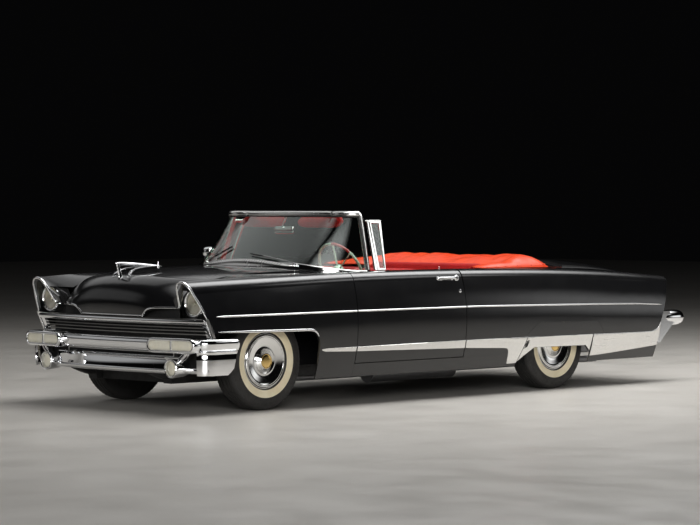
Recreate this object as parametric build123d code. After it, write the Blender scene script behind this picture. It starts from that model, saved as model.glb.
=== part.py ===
"""A 1950s American luxury convertible, built as separate panels, running gear and cabin pieces.

Frame: +X forward, +Y to the car's left, +Z up, origin on the ground under the middle of the length.
All sizes are in millimetres.
"""

import math
import os
from collections import namedtuple

from build123d import *

# Overall sizes
FRONT_OVERHANG = 860.0
WHEELBASE = 3200.0
REAR_OVERHANG = 1600.0
LENGTH = FRONT_OVERHANG + WHEELBASE + REAR_OVERHANG
FRONT_END = LENGTH / 2
REAR_END = -LENGTH / 2
FRONT_AXLE_X = FRONT_END - FRONT_OVERHANG
REAR_AXLE_X = REAR_END + REAR_OVERHANG
FRONT_TRACK = 1486.0
REAR_TRACK = 1524.0
HEADER_TOP_Z = 1450.0
OUTSIDE = 1100.0

# Gaps between panels and between pieces that move
PANEL_GAP = 6.0
SEAT_GAP = 0.3
PIN_GAP = 0.3

# Body skin
SKIN = 22.0
SILL_Z = 217.0
WAIST_Z = 640.0
SEAM_Y = 653.0

# One row per body station, front to rear:
# x, half width at the sill, at the waist and at the shoulder, shoulder height,
# crest half width and height, height of the seam beside the hood or boot lid
Station = namedtuple("Station", "x y_sill y_waist y_shoulder z_shoulder y_crest z_crest z_seam")
STATIONS = [
    Station(FRONT_END - 30, 905, 945, 893, 862, 822, 952, 770),
    Station(FRONT_END - 230, 918, 966, 917, 872, 832, 963, 862),
    Station(FRONT_END - 530, 930, 990, 940, 886, 850, 974, 962),
    Station(FRONT_AXLE_X - 70, 938, 1002, 954, 900, 866, 984, 992),
    Station(FRONT_AXLE_X - 670, 942, 1010, 966, 918, 884, 996, 1002),
    Station(400, 942, 1012, 968, 924, 890, 1001, 1000),
    Station(-500, 941, 1011, 965, 918, 886, 994, 998),
    Station(REAR_AXLE_X - 70, 936, 1006, 955, 902, 874, 976, 994),
    Station(REAR_END + 830, 928, 996, 940, 872, 862, 942, 960),
    Station(REAR_END + 130, 918, 978, 922, 830, 852, 888, 884),
]

# Where the panels meet
NOSE_TOP = (FRONT_END - 59, 953.0)
NOSE_BOTTOM = (FRONT_END - 263, 540.0)
TAIL_TOP = (REAR_END + 177, 960.0)
TAIL_KNEE = (REAR_END + 382, 536.0)
TAIL_FOOT = (REAR_END + 411, 300.0)
FIREWALL_X = FRONT_AXLE_X - 490.0
FENDER_REAR_X = FIREWALL_X - 280.0
DOOR_LENGTH = 1200.0
DOOR_REAR_X = FENDER_REAR_X - DOOR_LENGTH
DOOR_BOTTOM_Z = 313.0
DOOR_INNER_Y = 868.0
DOOR_HINGE_X = FENDER_REAR_X - 40.0
HINGE_LEAF_Z = (420.0, 780.0)
POST_Y = 856.0
CABIN_WALL_Y = 800.0
CABIN_REAR_X = REAR_AXLE_X + 440.0

# Wheel openings
ARCH_TOP_Z = 578.0
ARCH_REAR_X = FRONT_AXLE_X - 390.0
ARCH_CORNER = 110.0
SKIRT_FRONT_X = REAR_AXLE_X + 504.0
SKIRT_REAR_X = REAR_AXLE_X - 455.0
SKIRT_TOP_Z = 560.0
SKIRT_BOTTOM_Z = 350.0
SKIRT_FOOT_Z = 296.0
OPENING_FRONT_X = REAR_AXLE_X + 430.0
OPENING_REAR_X = REAR_AXLE_X - 294.0

# Wheels: radii of the tyre's parts, widths, and the cover's rings
TYRE_R = 360.0
TYRE_HALF = 98.0
TREAD_HALF = 88.0
SHOULDER_R = 347.0
BEAD_R = 205.0
RIM_HALF = 74.0
COVER_R = 193.0
COVER_CONE_R = 92.0
COVER_DISC_R = 52.0
COVER_PROUD = 96.0
HUB_R = 62.0
SPINDLE_R = 22.0
KINGPIN_INSET = 60.0
KINGPIN_R = 17.0

# Frame rails and springs
RAIL_INSET = 273.0
RAIL_WIDTH = 90.0
RAIL_Y = min(FRONT_TRACK / 2, REAR_TRACK / 2 - 19) - RAIL_INSET
RAIL_Z = 205.0
KICK_UP_Z = TYRE_R + 70.0
GEARBOX_Z = 228.0
SPRING_Y = (RAIL_Y + 20, RAIL_Y + 75)
SPRING_FRONT = (REAR_AXLE_X + 620, 266.0)
SPRING_REAR = (REAR_AXLE_X - 705, 352.0)
SPRING_LEAF = 22.0
JACK_PAD_X = (FENDER_REAR_X + 100, CABIN_REAR_X + 390)
JACK_PAD_Z = 199.0
TIE_DOWN_R = 16.0
TIE_DOWN_FRONT_X = FRONT_END - 380.0
TIE_DOWN_REAR_X = REAR_END + 500.0

# Hood and boot lid
HOOD_REAR_X = FIREWALL_X + 20.0
HOOD_SHEET = 24.0
LID_FRONT_X = REAR_AXLE_X - 330.0
LID_BOTTOM_Z = 610.0
LID_SHEET = 24.0
HINGE_SEAT_Z = 952.0
HINGE_ARM_Y = (485.0, 515.0)

# Cabin
FLOOR_Z = 300.0
FLOOR_SHEET = 12.0
FLOOR_TOP_Z = FLOOR_Z + FLOOR_SHEET + SEAT_GAP
BULKHEAD_Z = 914.0
TOP_WELL_REAR_X = REAR_AXLE_X - 45.0
STEER_CENTRE = (FENDER_REAR_X - 430, 400.0, 1005.0)
STEER_RAKE = 28.0
STEER_RING_R = 215.0
SEAT_SIDE_GAP = 110.0
SEAT_HALF = CABIN_WALL_Y - SEAT_SIDE_GAP

# Front bumper: its outer line in plan, its roll, and the lamps in it
BUMPER_HALF = 1000.0
BUMPER_WRAP = 462.0
BUMPER_CORNER_R = 130.0
BUMPER_CORNER_X = FRONT_END - 230.0
BUMPER_FACE_X = FRONT_END - 24.0
BUMPER_Z = (452.0, 546.0)
LOZENGE_CENTRE = (FRONT_END - 142.03, 715.0, 500.0)
LOZENGE_SIZE = (470.0, 112.0)
LOZENGE_LENS = (418.0, 74.0)
LOZENGE_TURN = math.radians(6.027)
POD_CENTRE = (708.0, 335.0)
POD_R = 64.0
POD_LENS_R = 50.0

# Headlights and grille
LAMP_Y = 812.0
LAMP_Z = 796.0
LAMP_R = 87.0
LAMP_LEG = ((701.0, 767.0), (824.0, 953.0))
GRILLE_HALF = 905.0
GRILLE_BOW = 84.0


def section_plane(x):
    """The cross-section plane at x: local x is +Y and local y is +Z."""
    return Plane(origin=(x, 0, 0), x_dir=(0, 1, 0), z_dir=(1, 0, 0))


def side_plane(y):
    """The lengthwise plane at y: local x is +X and local y is +Z, normal to -Y."""
    return Plane(origin=(0, y, 0), x_dir=(1, 0, 0), z_dir=(0, -1, 0))


def block(x0, x1, y0, y1, z0, z1):
    """An upright box between two corners."""
    size = (abs(x1 - x0), abs(y1 - y0), abs(z1 - z0))
    return Pos((x0 + x1) / 2, (y0 + y1) / 2, (z0 + z1) / 2) * Box(*size)


def prism_y(points, y0, y1):
    """A polygon in X and Z, carried from y0 to y1."""
    face = side_plane(y1) * make_face(Polyline(*points, close=True))
    return extrude(face, y1 - y0)


def prism_x(points, x0, x1):
    """A polygon in Y and Z, carried from x0 to x1."""
    face = section_plane(x0) * make_face(Polyline(*points, close=True))
    return extrude(face, x1 - x0)


def other_side(shape):
    """The right-hand copy of a left-hand piece."""
    return mirror(shape, about=Plane.XZ)


def both(shape):
    """A left-hand piece together with its right-hand copy."""
    return shape + other_side(shape)


def rod(start, end, radius):
    """A round bar between two points."""
    a, b = Vector(*start), Vector(*end)
    plane = Plane(origin=a, z_dir=b - a)
    return extrude(plane * Circle(radius), (b - a).length)


def one(shape):
    """The single solid of a shape, or its solids together."""
    found = shape.solids()
    return found[0] if len(found) == 1 else Compound(children=found)


def side_section(s, inset, seam_y):
    """One closed left-hand section of the body side, moved in by inset."""
    sill = (s.y_sill - inset, SILL_Z - 40 * (inset > 0))
    waist = (s.y_waist - inset, WAIST_Z)
    shoulder = (s.y_shoulder - inset, s.z_shoulder - 0.4 * inset)
    crest = (s.y_crest - 0.4 * inset, s.z_crest - inset)
    seam = (seam_y, s.z_seam - inset)
    bulge = (
        shoulder[0] + 0.32 * (crest[0] - shoulder[0]),
        shoulder[1] + 0.68 * (crest[1] - shoulder[1]),
    )
    foot = (seam_y, sill[1])
    edges = (
        Line(foot, sill)
        + ThreePointArc(sill, waist, shoulder)
        + ThreePointArc(shoulder, bulge, crest)
        + Line(crest, seam)
        + Line(seam, foot)
    )
    return section_plane(s.x) * make_face(edges)


def side_body(inset=0.0, seam_y=SEAM_Y):
    """The left side of the body from nose to tail, as one lofted solid."""
    return loft([side_section(s, inset, seam_y) for s in STATIONS])


print("lofting the body sides")
OUTER = side_body()
INNER = side_body(SKIN, SEAM_Y - 60)
SHELL = OUTER - INNER
AHEAD = FRONT_END + 70
BEHIND = REAR_END - 70


def nose_x(z):
    """Where the raked nose plane is at height z."""
    share = (NOSE_TOP[1] - z) / (NOSE_TOP[1] - NOSE_BOTTOM[1])
    return NOSE_TOP[0] + (NOSE_BOTTOM[0] - NOSE_TOP[0]) * share


def tail_x(z):
    """Where the tail's trailing edge is at height z: raked above its knee, steep below it."""
    top, low = (TAIL_TOP, TAIL_KNEE) if z > TAIL_KNEE[1] else (TAIL_KNEE, TAIL_FOOT)
    share = (top[1] - z) / (top[1] - low[1])
    return top[0] + (low[0] - top[0]) * share


def nose_cut():
    """Everything in front of the raked nose and below the bumper's top."""
    line = [NOSE_TOP, (NOSE_TOP[0] + 20, NOSE_TOP[1] + 41), (AHEAD, OUTSIDE), (AHEAD, 100),
            (NOSE_BOTTOM[0] - 267, 100), (NOSE_BOTTOM[0] - 267, NOSE_BOTTOM[1]), NOSE_BOTTOM]
    return prism_y(line, 0, OUTSIDE)


def tail_cut():
    """Everything behind the trailing edge, which rounds off into the top of the fin."""
    edge_top = (tail_x(866), 866)
    fin_top = (REAR_END + 262, 905)
    rounding = ThreePointArc(edge_top, (REAR_END + 231, 893), fin_top)
    rest = Polyline(fin_top, (fin_top[0], OUTSIDE), (BEHIND, OUTSIDE), (BEHIND, 100), (TAIL_FOOT[0], 100),
                    TAIL_FOOT, TAIL_KNEE, edge_top)
    return extrude(side_plane(OUTSIDE) * make_face(rounding + rest), OUTSIDE)


def front_arch():
    """The front wheel opening: flat on top, with one round rear corner, open to the front."""
    front_x = FRONT_END - 130
    corners = [(front_x, 0), (ARCH_REAR_X, 0), (ARCH_REAR_X, ARCH_TOP_Z - 4), (front_x, ARCH_TOP_Z + 8)]
    face = make_face(Polyline(*corners, close=True))
    corner = face.vertices().sort_by(Axis.X)[0:2].sort_by(Axis.Y)[-1]
    face = fillet(corner, ARCH_CORNER)
    return extrude(side_plane(OUTSIDE) * face, 400)


def nose_slab(ahead0, ahead1, z0, z1):
    """The space between two planes parallel to the raked nose, from ahead0 to ahead1 in front of it."""
    low, high = nose_x(z0), nose_x(z1)
    line = [(low + ahead0, z0), (low + ahead1, z0), (high + ahead1, z1), (high + ahead0, z1)]
    return prism_y(line, 0, OUTSIDE)


def tail_slab(ahead0, ahead1, z0, z1):
    """The space between two surfaces parallel to the trailing edge, ahead0 to ahead1 in front of it."""
    levels = [z0, TAIL_KNEE[1], z1] if z0 < TAIL_KNEE[1] < z1 else [z0, z1]
    rear = [(tail_x(z) + ahead0, z) for z in levels]
    front = [(tail_x(z) + ahead1, z) for z in reversed(levels)]
    return prism_y(rear + front, 0, OUTSIDE)


parts = {}


def add(name, shape):
    parts[name] = one(shape)


print("body panels")


def fender_left():
    """The front fender: skin, wheel opening, and the sheet between the headlight and the hood."""
    skin = (SHELL - nose_cut()) & block(FENDER_REAR_X, AHEAD, 0, OUTSIDE, 0, OUTSIDE)
    (low_y, low_z), (top_y, top_z) = LAMP_LEG
    cheek = [(SEAM_Y - 1, low_z - 15), (low_y, low_z - 7), (top_y - 2, top_z - 3), (top_y - 2, OUTSIDE),
             (SEAM_Y - 1, OUTSIDE)]
    sheet = OUTER & nose_slab(-14, 0, low_z - 20, OUTSIDE) & prism_x(cheek, NOSE_BOTTOM[0], AHEAD)
    return skin - front_arch() + sheet


fender = fender_left()
add("fender_left", fender)
add("fender_right", other_side(fender))


def door_left():
    """The left door: whole thickness, rear edge bevelled so that it can swing."""
    x0, x1 = DOOR_REAR_X + PANEL_GAP, FENDER_REAR_X - PANEL_GAP
    door = OUTER & block(x0, x1, DOOR_INNER_Y, OUTSIDE, DOOR_BOTTOM_Z + PANEL_GAP, OUTSIDE)
    wedge = [(x0 - 1, 1030), (x0 - 1, 800), (x0 + 42, 800), (x0 + 1, 985), (x0 - 1, 990)]
    door -= extrude(make_face(Polyline(*wedge, close=True)), OUTSIDE)
    door -= block(x0 + 90, x1 - 420, DOOR_INNER_Y + 34, DOOR_INNER_Y + 46, 700, OUTSIDE)
    for z in HINGE_LEAF_Z:
        door += block(DOOR_HINGE_X - 40, DOOR_HINGE_X - 4, POST_Y + SEAT_GAP, DOOR_INNER_Y + 1, z, z + 80)
    return door


door = door_left()
add("door_left", door)
add("door_right", other_side(door))


def quarter_left():
    """The rear quarter: a thick wall beside the rear seat and a skin behind it."""
    wall = OUTER & block(CABIN_REAR_X, DOOR_REAR_X, CABIN_WALL_Y, OUTSIDE, DOOR_BOTTOM_Z, OUTSIDE)
    skin = SHELL & block(BEHIND, CABIN_REAR_X, 0, OUTSIDE, 0, OUTSIDE)
    opening = prism_y(
        [(SKIRT_FRONT_X + 10, 0), (SKIRT_FRONT_X, 470), (SKIRT_FRONT_X - 130, SKIRT_TOP_Z),
         (SKIRT_REAR_X + 80, SKIRT_TOP_Z - 16), (SKIRT_REAR_X, 450), (SKIRT_REAR_X, 430),
         (OPENING_REAR_X - 20, 430), (OPENING_REAR_X - 20, 0)],
        700, OUTSIDE,
    )
    top_well = block(TOP_WELL_REAR_X, CABIN_REAR_X, 600, CABIN_WALL_Y, 900, OUTSIDE)
    return wall + skin - tail_cut() - opening - top_well


quarter = quarter_left()
add("quarter_left", quarter)
add("quarter_right", other_side(quarter))


def skirt_left():
    """The cover over the upper half of the rear wheel."""
    g = SEAT_GAP
    front_x = SKIRT_FRONT_X - g
    outline = [(front_x, SKIRT_FOOT_Z), (front_x, 468), (SKIRT_FRONT_X - 132, SKIRT_TOP_Z - g),
               (SKIRT_REAR_X + 82, SKIRT_TOP_Z - 16 - g), (SKIRT_REAR_X + g, 448), (SKIRT_REAR_X + g, 433),
               (OPENING_REAR_X - 17, 433), (OPENING_REAR_X, 300), (OPENING_REAR_X + 60, SKIRT_BOTTOM_Z),
               (OPENING_FRONT_X - 22, SKIRT_BOTTOM_Z + 8)]
    return (OUTER - side_body(SKIN - 4, SEAM_Y - 60)) & prism_y(outline, 700, OUTSIDE)


add("wheel_skirts", both(skirt_left()))


print("hood and boot lid")
# One row per lengthwise section: y, then the points of its outer line, each as a distance back from
# the car's end and a height: middle of the top, brow, middle of the nose, lip; z is the hinge edge's height
Profile = namedtuple("Profile", "y z middle brow nose lip")
LID_HALF = SEAM_Y - PANEL_GAP
HOOD_PROFILES = [
    Profile(0, 1040, (730, 1022), (260, 990), (110, 900), (95, 694)),
    Profile(350, 1032, (730, 1014), (300, 976), (128, 884), (104, 694)),
    Profile(LID_HALF, 1003, (830, 992), (530, 962), (270, 855), (130, 694)),
]
LID_PROFILES = [
    Profile(0, 1050, (780, 1026), (430, 982), (275, 880), (290, LID_BOTTOM_Z)),
    Profile(350, 1040, (780, 1012), (430, 965), (282, 868), (295, LID_BOTTOM_Z)),
    Profile(LID_HALF, 1000, (780, 962), (440, 915), (302, 830), (305, LID_BOTTOM_Z)),
]


def toward(point, target, distance):
    """point moved towards target by distance."""
    dx, dz = target[0] - point[0], target[1] - point[1]
    reach = math.hypot(dx, dz)
    return (point[0] + dx * distance / reach, point[1] + dz * distance / reach)


def lid_section(p, y, end_x, edge_x, sheet, inside):
    """One closed lengthwise section of a hood or lid: its outer line and the same line moved inwards."""
    sign = math.copysign(1, end_x)
    middle, brow, nose, lip = [(end_x - sign * back, z) for back, z in (p.middle, p.brow, p.nose, p.lip)]
    edge = (edge_x, p.z)
    edge_in = (edge_x, p.z - sheet)
    lip_in = (lip[0] - sign * sheet, lip[1])
    middle_in = (middle[0], middle[1] - sheet)
    brow_in = toward(brow, inside, sheet)
    nose_in = toward(nose, inside, sheet)
    edges = (
        ThreePointArc(edge, middle, brow)
        + ThreePointArc(brow, nose, lip)
        + Line(lip, lip_in)
        + ThreePointArc(lip_in, nose_in, brow_in)
        + ThreePointArc(brow_in, middle_in, edge_in)
        + Line(edge_in, edge)
    )
    return side_plane(y) * make_face(edges)


def lofted_lid(profiles, end_x, edge_x, sheet, inside):
    """A hood or lid lofted across the car from the right-hand seam to the left-hand one."""
    right = [lid_section(p, -p.y, end_x, edge_x, sheet, inside) for p in profiles[:0:-1]]
    left = [lid_section(p, p.y, end_x, edge_x, sheet, inside) for p in profiles]
    return loft(right + left)


def hinge_arm(x0, x1, z0, z1):
    """The hinge arms of a lid, one on each side."""
    return both(block(x0, x1, *HINGE_ARM_Y, z0, z1))


hood = lofted_lid(HOOD_PROFILES, FRONT_END, HOOD_REAR_X, HOOD_SHEET, (FRONT_END - 530, 700))
NOTCH = [(335, 600), (345, 690), (395, 735), (470, 752), (760, 752), (760, 600)]
hood -= both(prism_x(NOTCH, FRONT_END - 330, AHEAD))
hood += hinge_arm(HOOD_REAR_X + 15, HOOD_REAR_X + 35, HINGE_SEAT_Z + SEAT_GAP, 1000)
add("hood", hood)

trunk_lid = lofted_lid(LID_PROFILES, REAR_END, LID_FRONT_X, LID_SHEET, (REAR_END + 630, 700))
trunk_lid += hinge_arm(LID_FRONT_X - 36, LID_FRONT_X - 16, HINGE_SEAT_Z + SEAT_GAP, 1000)
add("trunk_lid", trunk_lid)


def crowned_plate(x0, x1, half, z_edge, z_centre, sheet):
    """A plate across the car, arched in cross-section."""
    z_under = z_edge - sheet
    edges = ThreePointArc((-half, z_edge), (0, z_centre), (half, z_edge))
    edges += Line((half, z_edge), (half, z_under))
    edges += ThreePointArc((half, z_under), (0, z_centre - sheet), (-half, z_under))
    edges += Line((-half, z_under), (-half, z_edge))
    return extrude(section_plane(x0) * make_face(edges), x1 - x0)


INNER_HALF = SEAM_Y - SEAT_GAP
DECK_REAR_X = LID_FRONT_X + 5
rear_deck = crowned_plate(DECK_REAR_X, TOP_WELL_REAR_X - 1, INNER_HALF, 988, 1050, LID_SHEET)
rear_deck += hinge_arm(DECK_REAR_X, DECK_REAR_X + 15, HINGE_SEAT_Z - 20, 1000)
rear_deck += hinge_arm(LID_FRONT_X - 40, DECK_REAR_X + 15, HINGE_SEAT_Z - 20, HINGE_SEAT_Z)
add("rear_deck", rear_deck)


def cowl():
    """Cowl top, firewall, footwell sides and the door hinge posts, in one welded piece."""
    top = crowned_plate(FENDER_REAR_X - 12, HOOD_REAR_X - PANEL_GAP, INNER_HALF, 1003, 1040, 20)
    post_x = FENDER_REAR_X - SEAT_GAP
    piece = top + block(FIREWALL_X - 12, FIREWALL_X, -INNER_HALF, INNER_HALF, FLOOR_TOP_Z, 1000)
    side = block(FENDER_REAR_X - 12, FIREWALL_X, 632, INNER_HALF, FLOOR_TOP_Z, 1000)
    side += block(FENDER_REAR_X - 12, post_x, 632, POST_Y, DOOR_BOTTOM_Z, 1000)
    side += block(FENDER_REAR_X - 300, post_x, POST_Y - 18, POST_Y, DOOR_BOTTOM_Z, 1000)
    piece += both(side)
    piece += hinge_arm(FIREWALL_X - 12, HOOD_REAR_X + 40, HINGE_SEAT_Z - 20, HINGE_SEAT_Z)
    return piece - block(FIREWALL_X - 20, FIREWALL_X + 20, -121, 121, FLOOR_Z, FLOOR_Z + 121)


cowl_piece = cowl()
add("cowl", cowl_piece)

print("windshield")
# The windshield's line in plan: x of its rear ends, of its corners and of its centre, half width, corner's y
GlassLine = namedtuple("GlassLine", "rear_x corner_x centre_x half corner_y")
BASE_LINE = GlassLine(FENDER_REAR_X - 255, FENDER_REAR_X + 135, FENDER_REAR_X + 220, 860, 540)
TOP_LINE = GlassLine(FENDER_REAR_X - 303, FENDER_REAR_X - 250, FENDER_REAR_X - 200, 724, 470)
HEADER_LINE = GlassLine(TOP_LINE.rear_x, TOP_LINE.corner_x - 15, TOP_LINE.centre_x - 20, 716, 470)
BASE_Z = 1058.0
TOP_Z = HEADER_TOP_Z - 38.0
GLASS = 6.0


def glass_line(line, inset):
    """The wrapped line of the windshield in plan: a shallow centre arc and two tight ends."""
    corner_x = line.corner_x - inset
    corner_y = line.corner_y - 0.6 * inset
    half = line.half - inset
    ends = [(line.rear_x, -half), (corner_x, -corner_y), (corner_x, corner_y), (line.rear_x, half)]
    centre = ThreePointArc(ends[1], (line.centre_x - inset, 0), ends[2])
    bow = 0.2 * (line.half - line.corner_y)
    mid_x = (corner_x + line.rear_x) / 2 + bow
    mid_y = (corner_y + half) / 2 + bow
    wrap_left = ThreePointArc(ends[2], (mid_x, mid_y), ends[3])
    wrap_right = ThreePointArc(ends[0], (mid_x, -mid_y), ends[1])
    return wrap_right, centre, wrap_left, ends


def glass_band(z, line, inset0, inset1):
    """A thin closed strip between two insets of a windshield line, at height z."""
    a = glass_line(line, inset0)
    b = glass_line(line, inset1)
    edges = a[0] + a[1] + a[2] + b[0] + b[1] + b[2]
    edges += Line(a[3][0], b[3][0]) + Line(a[3][3], b[3][3])
    return Pos(0, 0, z) * make_face(edges)


def band_between(z0, line0, z1, line1, inset0, inset1):
    """A curved wall between two heights, from inset0 to inset1 inside the two lines."""
    return loft([glass_band(z0, line0, inset0, inset1), glass_band(z1, line1, inset0, inset1)], ruled=True)


glass = band_between(BASE_Z + SEAT_GAP, BASE_LINE, TOP_Z - SEAT_GAP, TOP_LINE, 8, 8 + GLASS)
add("windshield_glass", glass)


def windshield_frame():
    """Lower rail on the cowl, two door-side pillars and the header."""
    rail = band_between(1004, BASE_LINE, BASE_Z, BASE_LINE, 0, 26) - cowl_piece
    frame = rail + band_between(TOP_Z, TOP_LINE, HEADER_TOP_Z, HEADER_LINE, 0, 42)
    foot = Plane(origin=(BASE_LINE.rear_x - 20, POST_Y - 20, 1000 + SEAT_GAP)) * Rectangle(40, 40)
    head = Plane(origin=(TOP_LINE.rear_x - 20, TOP_LINE.half - 14, TOP_Z + 10)) * Rectangle(40, 36)
    return frame + both(loft([foot, head], ruled=True)) - glass


add("windshield_frame", windshield_frame())

# The quarter-light's corners: distance behind the fender's rear edge, and height up its own plane
VENT_CORNERS = [(338, 0), (374, 388), (494, 388), (422, 0)]
VENT_LEAN = 19.0
VENT_RIM = 13.0


def vent_window(inset, thickness, depth=0.0):
    """The fixed quarter-light on the door, leaning in towards its top."""
    corners = [(FENDER_REAR_X - back, up) for back, up in VENT_CORNERS]
    c = [sum(p[i] for p in corners) / 4 for i in (0, 1)]
    kx, kz = 1 - inset / 45, 1 - inset / 194
    pts = [(c[0] + (p[0] - c[0]) * kx, c[1] + (p[1] - c[1]) * kz) for p in corners]
    lean = math.radians(VENT_LEAN)
    normal = (0, -math.cos(lean), -math.sin(lean))
    plane = Plane(origin=(0, DOOR_INNER_Y + 22, 1006.8), x_dir=(1, 0, 0), z_dir=normal)
    return extrude(plane.offset(depth) * make_face(Polyline(*pts, close=True)), thickness)


vent_frame = vent_window(0, 16) - vent_window(VENT_RIM, 16)
vent_glass = vent_window(VENT_RIM + SEAT_GAP, 5, 5)
add("vent_frame_left", vent_frame)
add("vent_frame_right", other_side(vent_frame))
add("vent_glass_left", vent_glass)
add("vent_glass_right", other_side(vent_glass))

print("floor, frame and running gear")
HUMP_REAR_X = REAR_AXLE_X - 430
HUMP_Z = KICK_UP_Z + 110
BOOT_FLOOR_Z = 400.0
BOOT_REAR_X = tail_x(BOOT_FLOOR_Z) + 52 + SEAT_GAP
WHEELHOUSE_Y = REAR_TRACK / 2 - 172
KICK_UP_SPACE = [
    (REAR_AXLE_X + 630, 200), (REAR_AXLE_X + 590, FLOOR_Z - 3), (REAR_AXLE_X + 385, KICK_UP_Z + 96),
    (REAR_AXLE_X - 425, KICK_UP_Z + 96), (REAR_AXLE_X - 576, BOOT_FLOOR_Z - 1), (REAR_AXLE_X - 576, 200),
]
RAIL_SPACE = both(prism_y(KICK_UP_SPACE, RAIL_Y - RAIL_WIDTH - 5, RAIL_Y + 5))


def floor_pan():
    """Floor with its tunnel, sills, axle hump and boot floor."""
    z0, z1 = FLOOR_Z, FLOOR_Z + FLOOR_SHEET
    pan = block(CABIN_REAR_X, FENDER_REAR_X - 1, -CABIN_WALL_Y - 2, CABIN_WALL_Y + 2, z0, z1)
    pan += block(FENDER_REAR_X - 12, FIREWALL_X, -630, 630, z0, z1)
    pan += block(CABIN_REAR_X - 12, FIREWALL_X, -120, 120, z0, z0 + 120)
    pan -= block(CABIN_REAR_X - 20, FIREWALL_X + 20, -108, 108, z0 - 20, z0 + 108)
    sill_top = DOOR_BOTTOM_Z - SEAT_GAP
    sill = OUTER & block(SKIRT_FRONT_X, FENDER_REAR_X - 1, CABIN_WALL_Y, OUTSIDE, 0, sill_top)
    wheel_edge = [(SKIRT_FRONT_X - 1, SKIRT_FOOT_Z), (SKIRT_FRONT_X + 90, SILL_Z + 20),
                  (SKIRT_FRONT_X + 90, 0), (SKIRT_FRONT_X - 1, 0)]
    pan += both(sill - prism_y(wheel_edge, 0, OUTSIDE))
    pan += block(CABIN_REAR_X - 12, CABIN_REAR_X, 1 - CABIN_WALL_Y, CABIN_WALL_Y - 1, z0 + 40, BULKHEAD_Z)
    pan += block(HUMP_REAR_X, CABIN_REAR_X, -WHEELHOUSE_Y, WHEELHOUSE_Y, HUMP_Z, HUMP_Z + 12)
    pan += block(HUMP_REAR_X - 12, HUMP_REAR_X, -WHEELHOUSE_Y, WHEELHOUSE_Y, BOOT_FLOOR_Z, HUMP_Z + 12)
    pan += block(BOOT_REAR_X, HUMP_REAR_X, -640, 640, BOOT_FLOOR_Z, BOOT_FLOOR_Z + 12)
    house = block(HUMP_REAR_X, CABIN_REAR_X, WHEELHOUSE_Y - 12, WHEELHOUSE_Y, HUMP_Z, 800)
    house += block(HUMP_REAR_X, CABIN_REAR_X, WHEELHOUSE_Y - 12, WHEELHOUSE_Y + 50, 800, 812)
    pan += both(house)
    pan -= block(CABIN_REAR_X - 13, CABIN_REAR_X + 1, -108, 108, 200, z0 + 108)
    return pan - RAIL_SPACE


add("floor_pan", floor_pan())

# Crossmembers between the rails: x of both faces, z of both faces
CROSSMEMBERS = [
    (FRONT_END - 430, FRONT_END - 330, RAIL_Z, 295),
    (FRONT_AXLE_X - 70, FRONT_AXLE_X + 70, RAIL_Z, 295),
    (FIREWALL_X - 480, FIREWALL_X - 400, RAIL_Z, GEARBOX_Z - SEAT_GAP),
    (REAR_AXLE_X + 530, REAR_AXLE_X + 590, RAIL_Z, 250),
    (REAR_AXLE_X - 590, REAR_AXLE_X - 520, 310, 390),
    (REAR_END + 470, REAR_END + 530, 310, 390),
]
ARM_TOWER_Z = TYRE_R + 120


def frame():
    """Two box rails with the kick-up over the rear axle, and the crossmembers between them."""
    top = FLOOR_Z - SEAT_GAP
    over, under = KICK_UP_Z + 90, KICK_UP_Z
    front_x, rear_x, axle = FRONT_END - 270, REAR_END + 470, REAR_AXLE_X
    side_view = [(front_x, top), (axle + 580, top), (axle + 380, over), (axle - 420, over), (axle - 570, 395),
                 (rear_x, 395), (rear_x, 305), (axle - 530, 305), (axle - 380, under), (axle + 340, under),
                 (axle + 540, RAIL_Z), (front_x, RAIL_Z)]
    rails = both(prism_y(side_view, RAIL_Y - RAIL_WIDTH, RAIL_Y))
    for x0, x1, z0, z1 in CROSSMEMBERS:
        rails += block(x0, x1, RAIL_WIDTH - 2 - RAIL_Y, RAIL_Y - RAIL_WIDTH + 2, z0, z1)
    for x in (TIE_DOWN_FRONT_X, TIE_DOWN_REAR_X):
        rails -= Pos(x, 0, 300) * Cylinder(TIE_DOWN_R, 400)
    side = block(FRONT_AXLE_X - 50, FRONT_AXLE_X + 50, RAIL_Y - 70, RAIL_Y, 290, ARM_TOWER_Z)
    eye_x, eye_z = SPRING_FRONT[0], SPRING_FRONT[1] - SEAT_GAP
    hanger = [(eye_x - 40, RAIL_Z), (eye_x + 10, RAIL_Z), (eye_x + 10, eye_z), (eye_x, eye_z),
              (eye_x - 40, eye_z - 3.7)]
    side += prism_y(hanger, RAIL_Y - 10, SPRING_Y[1])
    shackle_x, shackle_z = SPRING_REAR[0], SPRING_REAR[1] + SEAT_GAP
    side += block(shackle_x - 20, shackle_x + 20, RAIL_Y - 10, SPRING_Y[1], shackle_z, 395)
    for x in JACK_PAD_X:
        side += block(x - 50, x + 50, RAIL_Y - 80, RAIL_Y - 10, JACK_PAD_Z, RAIL_Z + 5)
    return rails + both(side)


add("frame", frame())

KINGPIN_Y = FRONT_TRACK / 2 - KINGPIN_INSET
LOWER_ARM_Z = (TYRE_R - 135, TYRE_R - 110)
UPPER_ARM_Z = (TYRE_R + 92, TYRE_R + 112)


def arm(z0, z1):
    """A wishbone from the frame to the kingpin's eye."""
    x = FRONT_AXLE_X
    y0, y1 = RAIL_Y + SEAT_GAP, KINGPIN_Y + 26
    plan = Polyline((x - 48, y0), (x + 48, y0), (x + 28, y1), (x - 28, y1), close=True)
    plate = extrude(Pos(0, 0, z0) * make_face(plan), z1 - z0)
    return plate - Pos(x, KINGPIN_Y, (z0 + z1) / 2) * Cylinder(KINGPIN_R + PIN_GAP, 100)


add("front_arms", both(arm(*LOWER_ARM_Z) + arm(*UPPER_ARM_Z)))


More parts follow.
